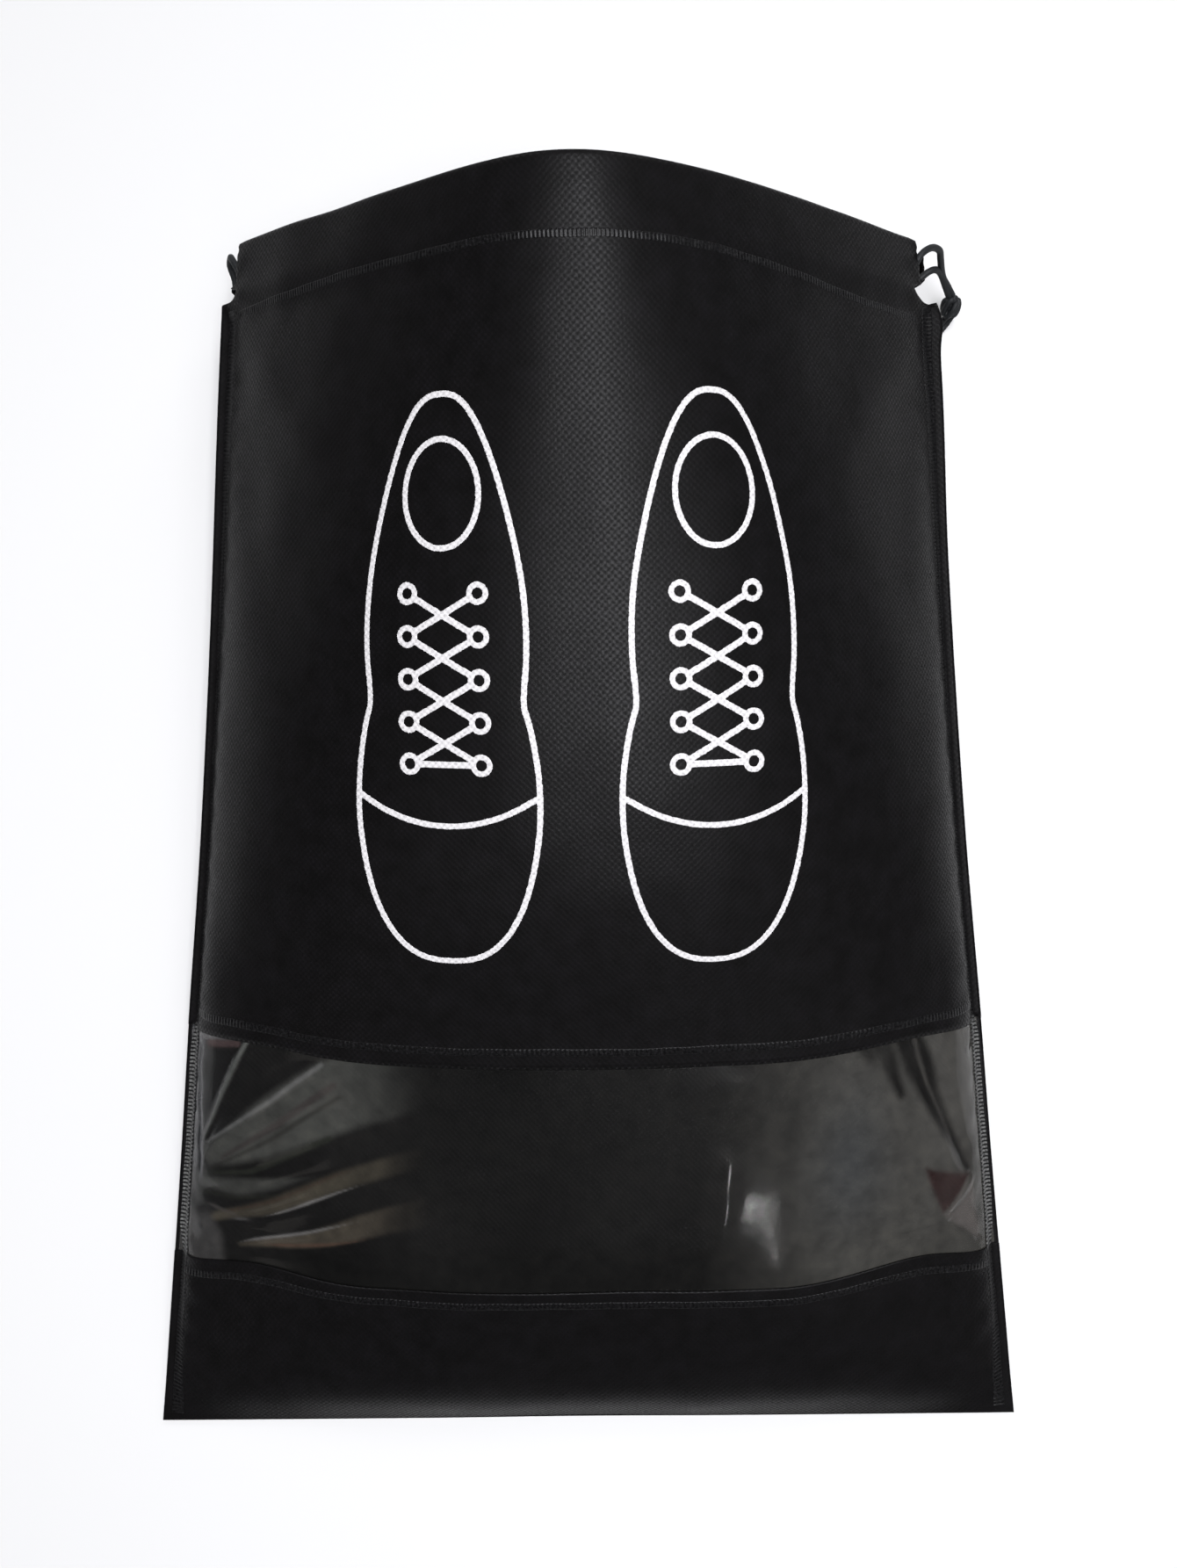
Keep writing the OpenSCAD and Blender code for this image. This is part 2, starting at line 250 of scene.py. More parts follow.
def stroke(u, v, pts, half, feather=1.2):
    """1 along a band drawn on the sheet; pts are (u, v, width factor)."""
    out = np.zeros(u.shape)
    for (u0, v0, w0), (u1, v1, w1) in zip(pts[:-1], pts[1:]):
        du, dv = u1 - u0, v1 - v0
        ll = du * du + dv * dv
        t = np.clip(((u - u0) * du + (v - v0) * dv) / ll, 0, 1)
        d = np.hypot(u - u0 - t * du, v - v0 - t * dv)
        w = half * (w0 + (w1 - w0) * t)
        out = np.maximum(out, smooth01((w - d) / (2 * feather) + 0.5))
    return out


# long folds that fan out of the left weld, and the curved ones under the right end of the upper weld; the curved ones
# also lay painted dark reflections into the film's colour
FAN = [((-141, 111, 0.6), (-118, 127, 1), (-91, 146, 0.8)), ((-140, 106, 0.6), (-118, 116, 1), (-88, 134, 1)),
       ((-143, 99, 0.6), (-122, 104, 1), (-88, 122, 0.7)), ((-142, 92, 0.6), (-120, 97, 1), (-96, 109, 0.4)),
       ((-138, 82, 0.5), (-118, 90, 1), (-84, 107, 0.8)), ((-126, 71, 0.3), (-108, 77, 1), (-80, 87, 1)),
       ((-146, 86, 0.5), (-132, 85, 0.6), (-118, 81, 0.2))]
DRAPE = [((96, 154, 0.7), (101, 146, 0.5)), ((103, 155, 0.9), (108, 143, 0.8), (113, 131, 0.4)),
         ((113, 155, 1.3), (120, 141, 1.5), (128, 124, 0.9), (136, 111, 0.5), (144, 98, 0.3))]


def film_folds(u, v):
    """Soft film: it is pulled smooth at the middle and creased at the sides."""
    inside = smooth01((v - WIN_LO - 0.5) / 7) * smooth01((WIN_HI - 0.5 - v) / 7) * smooth01((HALF - np.abs(u) - 6) / 6)
    out = 0.22 * waves(u, v, 6, 40, 90, 21) * (1 - 0.9 * bump(u, 48, 46))
    for k, line in enumerate(FAN):
        a, b = line[0][:2], line[-1][:2]
        out = out + crease(u, v, a, b, 2.6 + 0.4 * (k % 3), (1.2, -1.1, 1.3, -1.0, 1.4, 1.0, -0.6)[k], 18)
    # left upper corner: a small triangle folded flat
    out = out + ridge(u, v, (-153, 146), (-122, 151), 2.2, 0.8) + ridge(u, v, (-122, 151), (-143, 112), 2.0, 0.9)
    out = out + ridge(u, v, (-148, 146), (-145, 100), 1.8, -0.7)
    for k, line in enumerate(DRAPE):
        a, b = line[0][:2], line[-1][:2]
        out = out + crease(u, v, a, b, 2.8, (-0.8, -1.1, -1.5)[k], 14)
    for a, b, w, amp in (((123, 104), (144, 97), 2.6, 0.8), ((123, 104), (131, 82), 2.4, -0.8), ((131, 82), (146, 96), 2.6, 0.9),
                         ((112, 77), (134, 79), 2.4, 0.6), ((134, 79), (149, 68), 2.2, -0.8)):
        out = out + ridge(u, v, a, b, w, amp)
    # the one tight vertical fold that catches the light
    out = out + crease(u, v, (48, 78), (50.5, 112), 2.2, 0.30, 14)
    return out * inside


def film_tone_and_painted_reflections(u, v):
    """Base colour of the film: clear and dark, with painted reflections and highlights: paler, slightly tinted streaks
    along its creases and a painted grey sheen over the right, partly the film's own haze.
    """
    grain = 0.5 + 0.5 * waves(u, v, 7, 10, 34, 51)
    slow = 0.5 + 0.5 * waves(u, v, 6, 45, 120, 52)
    c = np.array([0.0085, 0.0083, 0.0078]) * (0.8 + 0.5 * slow[..., None])

    def put(mask, rgb, k=1.0):
        nonlocal c
        m = np.clip(mask * k, 0, 1)[..., None]
        c = c * (1 - m) + np.array(rgb) * m

    # right: an even grey painted sheen, partly the film's own haze, from the middle of the right half to the weld,
    # broken by curved folds painted dark
    put(smooth01((u - 34) / 62) * (0.86 + 0.24 * (grain - 0.5) + 0.2 * (slow - 0.5)), (0.062, 0.060, 0.054))
    # a paler painted sheen by the upper right weld and a bluish painted reflection patch
    put(smooth01((u - 118) / 10) * smooth01((v - 96) / 22), (0.080, 0.077, 0.070), 0.5)
    put(bump(u, 94, 9) * bump(v, 108, 17), (0.048, 0.052, 0.055), 0.6)
    # painted dark reflections along the curved folds
    for k, line in enumerate(DRAPE):
        put(stroke(u, v, line, 3.9, 2.0) * (0.78 + 0.4 * grain), (0.007, 0.0066, 0.006), (0.9, 0.95, 1.0)[k])
    # a painted highlight along one of the curved folds
    put(stroke(u, v, ((118, 150, 1), (124, 133, 1), (135, 112, 0.4)), 0.7, 0.8), (0.070, 0.066, 0.060), 0.6)
    # painted light and shade: three facets of a folded corner, one dark and two pale
    for a, b, cc, rgb, k in (((123, 104), (144, 97), (131, 82), (0.027, 0.0125, 0.012), 0.95),
                             ((145, 95), (133, 79), (149, 68), (0.125, 0.112, 0.105), 0.7),
                             ((131, 82), (133, 79), (144, 97), (0.14, 0.125, 0.118), 0.6)):
        e = [(b[0] - a[0], b[1] - a[1], a), (cc[0] - b[0], cc[1] - b[1], b), (a[0] - cc[0], a[1] - cc[1], cc)]
        sg = np.sign(e[0][0] * (cc[1] - a[1]) - e[0][1] * (cc[0] - a[0]))
        d = np.min([sg * (du * (v - q[1]) - dv * (u - q[0])) / math.hypot(du, dv) for du, dv, q in e], axis=0)
        put(smooth01(d / 2.6 + 0.4) * (0.8 + 0.3 * grain), rgb, k)
    # a painted grey reflection streak
    put(stroke(u, v, ((108, 128, 0.2), (113, 112, 1), (118, 98, 0.2)), 1.1, 2.5), (0.045, 0.043, 0.040), 0.5)

    # left: pale streaks of painted reflection, some brownish, that fan out of the weld with clear gaps between
    fade = smooth01((-u - 52) / 38)
    put(fade * stroke(u, v, ((-140, 107, 0.35), (-116, 120, 1), (-86, 137, 1.5), (-60, 148, 1.7)), 8.4, 2.0) * (0.78 + 0.4 * grain), (0.060, 0.061, 0.055))
    put(fade * stroke(u, v, ((-146, 97, 0.5), (-128, 98.5, 1), (-112, 102, 0.5), (-92, 107.5, -0.45)), 3.6, 1.6), (0.050, 0.051, 0.046), 0.85)
    put(fade * stroke(u, v, ((-138, 83, 0.55), (-118, 91, 1), (-86, 106, 1.1), (-58, 116, 1.2)), 2.9, 1.5) * (0.7 + 0.5 * grain), (0.064, 0.056, 0.041), 0.9)
    put(fade * stroke(u, v, ((-126, 71.5, 0.3), (-108, 77, 1), (-80, 88, 1.7), (-46, 99, 2.2)), 2.6, 1.3) * (0.7 + 0.5 * grain), (0.062, 0.053, 0.040), 0.9)
    # fine painted highlights and dark painted reflections as lines inside the streaks
    for line, half, rgb, k in ((((-141, 112, 0.5), (-112, 131, 1), (-92, 147, 1)), 0.75, (0.15, 0.15, 0.145), 0.7),
                               (((-138, 104, 0.5), (-112, 118, 1), (-86, 136, 1)), 0.8, (0.026, 0.025, 0.022), 0.7),
                               (((-134, 108, 0.5), (-110, 123, 1), (-88, 140, 1)), 1.2, (0.040, 0.031, 0.030), 0.6),
                               (((-141, 101.5, 0.5), (-120, 106, 1), (-90, 121, 1)), 1.0, (0.020, 0.022, 0.017), 0.85),
                               (((-146, 92.5, 1), (-128, 94, 1), (-112, 98, 0.4), (-100, 101.5, -0.9)), 0.7, (0.018, 0.019, 0.015), 0.8),
                               (((-138, 84.5, -1), (-130, 88, 0.6), (-112, 96, 1), (-88, 108, 0.6), (-74, 113, -1)), 0.6, (0.045, 0.030, 0.022), 0.7),
                               (((-119, 86.5, -1.1), (-110, 91, 0.5), (-98, 97, 1), (-88, 101.3, 0.5), (-74, 106.5, -1.1)), 0.55, (0.22, 0.215, 0.21), 0.7),
                               (((-130, 71, -1.1), (-120, 75.3, 0.8), (-104, 82, 1), (-92, 86.8, 0.5), (-76, 92, -1.1)), 0.55, (0.18, 0.175, 0.17), 0.75),
                               (((-120, 72.5, -0.9), (-110, 75.2, 1), (-96, 79, 1), (-84, 82, 0.4), (-72, 85, -0.9)), 0.7, (0.10, 0.052, 0.036), 0.5),
                               (((-144, 88.2, -0.9), (-138, 88, 1), (-128, 87, 1), (-118, 82, -0.9)), 0.7, (0.08, 0.072, 0.066), 0.6)):
        put(fade * stroke(u, v, line, half, 0.6), rgb, k)
    # a painted grey reflection patch at the lower corner, with its clear spot
    put(smooth01((-134.5 - 0.28 * (v - 70) - u + 1.1 * np.sin(v / 3.7)) / 6 + 0.5) * smooth01((84 - v + 0.25 * (u + 145)) / 6 + 0.5)
        * (0.8 + 0.3 * grain), (0.060, 0.058, 0.056), 0.85)
    put(stroke(u, v, ((-145.2, 76, 1), (-144.8, 77.5, 1)), 0.9, 0.6), (0.012, 0.012, 0.012))
    # upper corner: the small triangle folded flat, with its two pale edges painted as highlights
    put(smooth01((-144.5 - u) / 2 + 0.5) * smooth01((v - 96) / 8), (0.052, 0.053, 0.055), 0.7)
    for line, half, rgb, k in ((((-158, 147, 1), (-140, 149.6, 1), (-121, 152, 0.8)), 1.0, (0.17, 0.165, 0.165), 0.8),
                               (((-142, 147, 1), (-126, 149, 1)), 1.2, (0.11, 0.072, 0.070), 0.6),
                               (((-121.5, 151, 1), (-133, 131, 0.9), (-142.6, 113, 0.5)), 0.85, (0.13, 0.135, 0.125), 0.8),
                               (((-148, 147, 1), (-146, 124, 1), (-144.4, 98, 0.7)), 1.0, (0.105, 0.107, 0.115), 0.8),
                               (((-151.6, 147, 1), (-150.4, 120, 1), (-149.2, 96, 1)), 0.6, (0.09, 0.09, 0.10), 0.4)):
        put(stroke(u, v, line, half, 0.7), rgb, k)
    return np.clip(c, 0.004, 0.4)


PF, PB = base(True), base(False)
NF0 = normals(PF)
PF = PF + NF0 * front_folds(U2, V2)[:, :, None] * smooth01((edge - 5) / 8)[:, :, None]
back_fold = (0.35 * waves(U2, V2, 6, 60, 120, 31) + 0.15 * waves(U2, V2, 8, 20, 40, 32)) \
    * smooth01((edge - 6) / 25) * smooth01(V2 / 30)
PB = PB.copy()
PB[:, :, 2] += np.abs(back_fold) * 0.8
NF, NB = normals(PF), -normals(PB)             # both point out of the bag


def catmull(t):
    t2, t3 = t * t, t * t * t
    return np.stack([-0.5 * t + t2 - 0.5 * t3, 1 - 2.5 * t2 + 1.5 * t3,
                     0.5 * t + 2 * t2 - 1.5 * t3, -0.5 * t2 + 0.5 * t3], -1)


def sample(g, v, u):
    """Bicubic reading of a 1 mm grid, continued past its edges along the last step."""
    v, u = np.broadcast_arrays(np.asarray(v, float), np.asarray(u, float))
    vc, uc = np.clip(v, 0, LEN), np.clip(u, -160, 160)
    i = np.clip(np.floor(vc).astype(int), 0, len(VG) - 2)
    j = np.clip(np.floor(uc + 160).astype(int), 0, len(UG) - 2)
    wi, wj = catmull(vc - i), catmull(uc + 160 - j)
    out = 0
    for a in range(4):
        ia = np.clip(i + a - 1, 0, len(VG) - 1)
        for b in range(4):
            jb = np.clip(j + b - 1, 0, len(UG) - 1)
            out = out + (wi[..., a] * wj[..., b])[..., None] * g[ia, jb]
    over = (v - vc)[..., None]
    if np.any(over != 0):
        jr = np.clip(np.round(uc + 160).astype(int), 0, len(UG) - 1)
        hi, lo = g[-1, jr] - g[-3, jr], g[2, jr] - g[0, jr]
        out = out + np.where(over > 0, over * hi / 2, over * lo / 2)
    side = (u - uc)[..., None]
    if np.any(side != 0):
        ir = np.clip(np.round(vc).astype(int), 0, len(VG) - 1)
        hi, lo = g[ir, -1] - g[ir, -3], g[ir, 2] - g[ir, 0]
        out = out + np.where(side > 0, side * hi / 2, side * lo / 2)
    return out


def surf(front, v, u, n=0.0):
    """Point n mm outside the sheet's middle surface."""
    g, m = (PF, NF) if front else (PB, NB)
    nn = sample(m, np.clip(v, 0, LEN), u)
    nn = nn / np.linalg.norm(nn, axis=-1, keepdims=True)
    return sample(g, v, u) + np.asarray(n)[..., None] * nn


# ------------------------------------------------------------------ mesh helpers
def new_object(name, verts, faces, uv=None, mat=None, smooth=True):
    me = bpy.data.meshes.new(name)
    verts = np.asarray(verts, float) * MM
    me.from_pydata([tuple(p) for p in verts.tolist()], [], faces if isinstance(faces, list) else faces.tolist())
    if uv is not None:
        layer = me.uv_layers.new(name="sheet_mm")
        idx = np.empty(len(me.loops), np.int32)
        me.loops.foreach_get("vertex_index", idx)
        layer.data.foreach_set("uv", np.asarray(uv, np.float32)[idx].reshape(-1))
    if smooth:
        me.polygons.foreach_set("use_smooth", [True] * len(me.polygons))
    me.validate()
    me.update()
    ob = bpy.data.objects.new(name, me)
    scene.collection.objects.link(ob)
    if mat:
        me.materials.append(mat)
    return ob


def grid_normals(g):
    def diff(a, axis):
        return np.gradient(a, axis=axis)
    n = np.cross(diff(g, 1), diff(g, 0))
    ln = np.linalg.norm(n, axis=2, keepdims=True)
    return n / np.maximum(ln, 1e-9)


def thick_grid(g, th, uv, both=None):
    """Closed sheet around the middle grid g (rows x columns x 3)."""
    r, c = g.shape[:2]
    n = grid_normals(g)
    if both is None:
        top, bot = g + n * th / 2, g - n * th / 2
    else:
        top, bot = both
    m = r * c
    verts = np.concatenate([top.reshape(-1, 3), bot.reshape(-1, 3)])
    idx = np.arange(m).reshape(r, c)
    q = np.stack([idx[:-1, :-1], idx[:-1, 1:], idx[1:, 1:], idx[1:, :-1]], -1).reshape(-1, 4)
    under = q[:, ::-1] + m
    def rim(line):
        a, b = line[:-1], line[1:]
        return np.stack([b, a, a + m, b + m], 1)
    rims = [rim(idx[0, :]), rim(idx[::-1, 0]), rim(idx[-1, ::-1]), rim(idx[:, -1])]
    faces = np.concatenate([q, under] + rims)
    return verts, faces, np.concatenate([uv.reshape(-1, 2)] * 2)


def join(parts):
    vs, fs, us, o = [], [], [], 0
    for v, f, u in parts:
        vs.append(v); us.append(u)
        fs += [[int(k) + o for k in row] for row in f]
        o += len(v)
    return np.concatenate(vs), fs, np.concatenate(us)


def u_columns(fine=True):
    a = np.concatenate([np.arange(0, 12, 1.0), np.arange(12, 140, 2.0)])
    b = np.arange(140, 160.01, 1.0)
    h = np.concatenate([a, b])
    return np.concatenate([-h[:0:-1], h])


def outline(v, side, front=True):
    """How far out the cut edge lies at distance v: full width up to the shoulder,
    then a rounded notch, then the narrower channel end with a nub of weld."""
    v = np.asarray(v, float)
    c0, deep, h, nub, out = (416.0, 147.2, 5.6, 1.2, 151.3) if side > 0 else (417.5, 149.8, 3.6, 3.2, 150.6)
    top = c0 + h
    if not front:
        deep, top = (139.5, 427.0) if side > 0 else (143.0, 425.0)
    q = np.clip((v - c0) / h, 0, 1)
    notch = deep + (158.8 - deep) * (1 - np.sqrt(np.clip(1 - (1 - q) ** 2, 0, 1)))
    end = out + nub * bump(v, c0 + h + 1.5, 0.55) + 0.25 * np.sin(v * 1.7 + side)
    k = smooth01((v - top) / 1.2)
    return np.where(v > c0, notch * (1 - k) + end * k, 160.0)


def edge_shift(u):
    """The mouth's cut edge isn't quite straight."""
    return np.interp(u, [-150, -95, -60, -36, -10, 12, 34, 52, 72, 90, 104, 126, 150],
                     [0.0, 0.15, 0.5, 0.75, 0.75, 0.7, 0.8, 0.9, 0.8, 0.5, 0.0, -0.4, -1.1])


def lift_hi(u):
    return 3.0 * bump(np.abs(u), 118, 20)


def lift_lo(u):
    return 6.5 * bump(np.abs(u), 121, 19)


def hem_line(u):
    return 417.2 - 0.00018 * u * u - 4.0 * smooth01((u - 40) / 84)


def spread(v):
    """The right side stands out a little further towards its shoulder."""
    return 1.1 * smooth01((v - 320) / 70) * (1 - smooth01((v - 413) / 8)) + 1.4 * bump(v, 409, 5)


def fit_u(u, v, most=160.0, front=True):
    """Squeezes the outer columns so that they end on the cut outline."""
    lim = np.minimum(np.where(u > 0, outline(v, 1, front), outline(v, -1, front)), most) + np.where(u > 0, spread(v), 0)
    a = np.abs(u)
    return np.where(a > 132, np.sign(u) * (132 + (a - 132) * (lim - 132) / 28), u)


# ------------------------------------------------------------------ materials
GRID = 1.57    # distance between the rows of pressed points, which run at 45 degrees, mm


def web_cell(nt, u, v):
    """0 at a pressed point, 1 on the pad between four of them."""
    k = 2 * math.pi / GRID * 0.7071
    p = math_node(nt, "COSINE", math_node(nt, "MULTIPLY", math_node(nt, "ADD", u, v), k))
    q = math_node(nt, "COSINE", math_node(nt, "MULTIPLY", math_node(nt, "SUBTRACT", u, v), k))
    return mapr(nt, math_node(nt, "ADD", p, q), -2, 2, 0, 1)


def nodes_of(name):
    m = bpy.data.materials.new(name)
    m.use_nodes = True
    nt = m.node_tree
    b = nt.nodes["Principled BSDF"]
    return m, nt, b


def N(nt, kind, **props):
    n = nt.nodes.new(kind)
    for k, v in props.items():
        setattr(n, k, v)
    return n


def math_node(nt, op, a, b=None, c=None, clamp=False):
    n = N(nt, "ShaderNodeMath", operation=op, use_clamp=clamp)
    for i, x in enumerate((a, b, c)):
        if x is None:
            continue
        if isinstance(x, (int, float)):
            n.inputs[i].default_value = x
        else:
            nt.links.new(x, n.inputs[i])
    return n.outputs[0]


def ramp(nt, fac, stops):
    n = N(nt, "ShaderNodeValToRGB")
    e = n.color_ramp.elements
    while len(e) < len(stops):
        e.new(0.5)
    for k, (p, col) in enumerate(stops):
        e[k].position = p
        e[k].color = (*col, 1) if len(col) == 3 else col
    nt.links.new(fac, n.inputs[0])
    return n.outputs[0]


def mapr(nt, v, a, b, c, d):
    n = N(nt, "ShaderNodeMapRange")
    nt.links.new(v, n.inputs[0])
    for i, x in enumerate((a, b, c, d)):
        n.inputs[i + 1].default_value = x
    return n.outputs[0]


def fabric_material(name, tone=1.0):
    """Black spun-bonded web: a diamond grid of pressed points between raised fibre pads."""
    m, nt, b = nodes_of(name)
    L = nt.links.new
    uv = N(nt, "ShaderNodeUVMap", uv_map="sheet_mm").outputs[0]
    warp = N(nt, "ShaderNodeTexNoise", noise_dimensions="2D")
    warp.inputs["Scale"].default_value = 0.6
    warp.inputs["Detail"].default_value = 3
    L(uv, warp.inputs["Vector"])
    wsep = N(nt, "ShaderNodeSeparateColor")
    L(warp.outputs["Color"], wsep.inputs[0])
    sep = N(nt, "ShaderNodeSeparateXYZ")
    L(uv, sep.inputs[0])
    u = math_node(nt, "ADD", sep.outputs[0], math_node(nt, "MULTIPLY", wsep.outputs[0], 0.9))
    v = math_node(nt, "ADD", sep.outputs[1], math_node(nt, "MULTIPLY", wsep.outputs[1], 0.9))
    cell = web_cell(nt, u, v)
    fibre = N(nt, "ShaderNodeTexNoise", noise_dimensions="2D")
    fibre.inputs["Scale"].default_value = 3.2
    fibre.inputs["Detail"].default_value = 4
    fibre.inputs["Roughness"].default_value = 0.7
    L(uv, fibre.inputs["Vector"])
    cloud = N(nt, "ShaderNodeTexNoise", noise_dimensions="2D")
    cloud.inputs["Scale"].default_value = 0.11
    cloud.inputs["Detail"].default_value = 6
    cloud.inputs["Roughness"].default_value = 0.65
    L(uv, cloud.inputs["Vector"])
    speck = N(nt, "ShaderNodeTexNoise", noise_dimensions="2D")
    speck.inputs["Scale"].default_value = 1.3
    speck.inputs["Detail"].default_value = 2
    L(uv, speck.inputs["Vector"])
    mixed = math_node(nt, "ADD", math_node(nt, "MULTIPLY", cell, 0.5),
                      math_node(nt, "MULTIPLY", speck.outputs[0], 0.5))
    hi = 0.0062 * tone
    col = ramp(nt, mixed, [(0.25, (0.3 * hi, 0.28 * hi, 0.29 * hi)), (0.55, (0.6 * hi, 0.56 * hi, 0.58 * hi)),
                           (0.8, (hi, 0.94 * hi, hi))])
    mul = N(nt, "ShaderNodeMix", data_type="RGBA", blend_type="MULTIPLY")
    mul.inputs[0].default_value = 1.0
    L(col, mul.inputs[6])
    L(ramp(nt, cloud.outputs[0], [(0.3, (0.70, 0.69, 0.67)), (0.5, (0.95, 0.93, 0.94)), (0.75, (1.25, 1.22, 1.3))]),
      mul.inputs[7])
    L(mul.outputs[2], b.inputs["Base Color"])
    L(mapr(nt, mixed, 0.28, 0.72, 0.56, 0.27), b.inputs["Roughness"])
    b.inputs["Specular IOR Level"].default_value = 0.075
    height = math_node(nt, "ADD", math_node(nt, "MULTIPLY", cell, 0.9),
                       math_node(nt, "MULTIPLY", fibre.outputs[0], 0.5))
    bp = N(nt, "ShaderNodeBump")
    bp.inputs["Strength"].default_value = 0.5
    bp.inputs["Distance"].default_value = 0.00009
    L(height, bp.inputs["Height"])
    L(bp.outputs[0], b.inputs["Normal"])
    return m


def weld_material():
    m, nt, b = nodes_of("weld_fabric")
    L = nt.links.new
    uv = N(nt, "ShaderNodeUVMap", uv_map="sheet_mm").outputs[0]
    n1 = N(nt, "ShaderNodeTexNoise", noise_dimensions="2D")
    n1.inputs["Scale"].default_value = 1.1
    n1.inputs["Detail"].default_value = 4
    L(uv, n1.inputs["Vector"])
    sep = N(nt, "ShaderNodeSeparateXYZ")
    L(uv, sep.inputs[0])
    side = mapr(nt, math_node(nt, "ABSOLUTE", sep.outputs[0]), 150, 152.4, 0, 1)
    low = mapr(nt, sep.outputs[1], WIN_LO, WIN_LO + 3, 0, 1)
    high = mapr(nt, sep.outputs[1], WIN_HI - 1, WIN_HI + 2, 1, 0)
    inwin = math_node(nt, "MULTIPLY", math_node(nt, "MULTIPLY", side, low), high)
    turn = math_node(nt, "MULTIPLY", math_node(nt, "SUBTRACT", sep.outputs[1], 3.0), 2 * math.pi / 1.45)
    bar = mapr(nt, math_node(nt, "COSINE", turn), -0.7, 0.5, 0, 1)
    base = ramp(nt, n1.outputs[0], [(0.3, (0.0022, 0.0021, 0.0022)), (0.55, (0.0045, 0.0043, 0.0045)),
                                    (0.8, (0.011, 0.0105, 0.0115))])
    pale = ramp(nt, n1.outputs[0], [(0.3, (0.040, 0.040, 0.040)), (0.55, (0.105, 0.105, 0.102)),
                                    (0.8, (0.18, 0.18, 0.174))])
    ribs = N(nt, "ShaderNodeMix", data_type="RGBA")
    L(bar, ribs.inputs[0])
    ribs.inputs[6].default_value = (0.004, 0.004, 0.004, 1)
    L(pale, ribs.inputs[7])
    mx = N(nt, "ShaderNodeMix", data_type="RGBA")
    L(inwin, mx.inputs[0])
    L(base, mx.inputs[6])
    L(ribs.outputs[2], mx.inputs[7])
    L(mx.outputs[2], b.inputs["Base Color"])
    L(mapr(nt, n1.outputs[0], 0.3, 0.7, 0.24, 0.40), b.inputs["Roughness"])
    b.inputs["Specular IOR Level"].default_value = 0.13
    bp = N(nt, "ShaderNodeBump")
    bp.inputs["Strength"].default_value = 0.4
    bp.inputs["Distance"].default_value = 0.00006
    L(n1.outputs[0], bp.inputs["Height"])
    L(bp.outputs[0], b.inputs["Normal"])
    return m


def film_material():
    m, nt, b = nodes_of("clear_film")
    L = nt.links.new
    uv = N(nt, "ShaderNodeUVMap", uv_map="sheet_mm").outputs[0]
    n1 = N(nt, "ShaderNodeTexNoise", noise_dimensions="2D")
    n1.inputs["Scale"].default_value = 0.16
    n1.inputs["Detail"].default_value = 4
    n1.inputs["Roughness"].default_value = 0.6
    L(uv, n1.inputs["Vector"])
    n2 = N(nt, "ShaderNodeTexNoise", noise_dimensions="2D")
    n2.inputs["Scale"].default_value = 0.07
    n2.inputs["Detail"].default_value = 1
    L(uv, n2.inputs["Vector"])
    # the film's colour with its painted reflections and highlights comes in through this attribute
    tone = N(nt, "ShaderNodeAttribute", attribute_name="film_tone_and_painted_reflections")
    mul = N(nt, "ShaderNodeMix", data_type="RGBA", blend_type="MULTIPLY")
    mul.inputs[0].default_value = 1.0
    L(tone.outputs["Vector"], mul.inputs[6])
    L(ramp(nt, n1.outputs[0], [(0.28, (0.80, 0.80, 0.80)), (0.5, (1, 1, 1)), (0.74, (1.22, 1.21, 1.18))]), mul.inputs[7])
    L(mul.outputs[2], b.inputs["Base Color"])
    L(mapr(nt, n2.outputs[0], 0.3, 0.75, 0.06, 0.13), b.inputs["Roughness"])
    b.inputs["Alpha"].default_value = 0.42
    b.inputs["IOR"].default_value = 1.5
    b.inputs["Specular IOR Level"].default_value = 0.4
    bp = N(nt, "ShaderNodeBump")
    bp.inputs["Strength"].default_value = 0.3
    bp.inputs["Distance"].default_value = 0.0005
    L(n2.outputs[0], bp.inputs["Height"])
    L(bp.outputs[0], b.inputs["Normal"])
    return m


def ink_material():
    m, nt, b = nodes_of("print_ink")
    L = nt.links.new
    uv = N(nt, "ShaderNodeUVMap", uv_map="sheet_mm").outputs[0]
    sep = N(nt, "ShaderNodeSeparateXYZ")
    L(uv, sep.inputs[0])
    u, v = sep.outputs[0], sep.outputs[1]
    cell = web_cell(nt, u, v)
    n1 = N(nt, "ShaderNodeTexNoise", noise_dimensions="2D")
    n1.inputs["Scale"].default_value = 1.8
    n1.inputs["Detail"].default_value = 4
    L(uv, n1.inputs["Vector"])
    mix = math_node(nt, "ADD", math_node(nt, "MULTIPLY", cell, 0.4), math_node(nt, "MULTIPLY", n1.outputs[0], 0.6))
    L(ramp(nt, mix, [(0.15, (0.27, 0.26, 0.262)), (0.38, (0.46, 0.448, 0.45)), (0.7, (0.62, 0.605, 0.607))]),
      b.inputs["Base Color"])
    b.inputs["Roughness"].default_value = 0.6
    bp = N(nt, "ShaderNodeBump")
    bp.inputs["Strength"].default_value = 0.35
    bp.inputs["Distance"].default_value = 0.0001
    L(mix, bp.inputs["Height"])
    L(bp.outputs[0], b.inputs["Normal"])
    return m


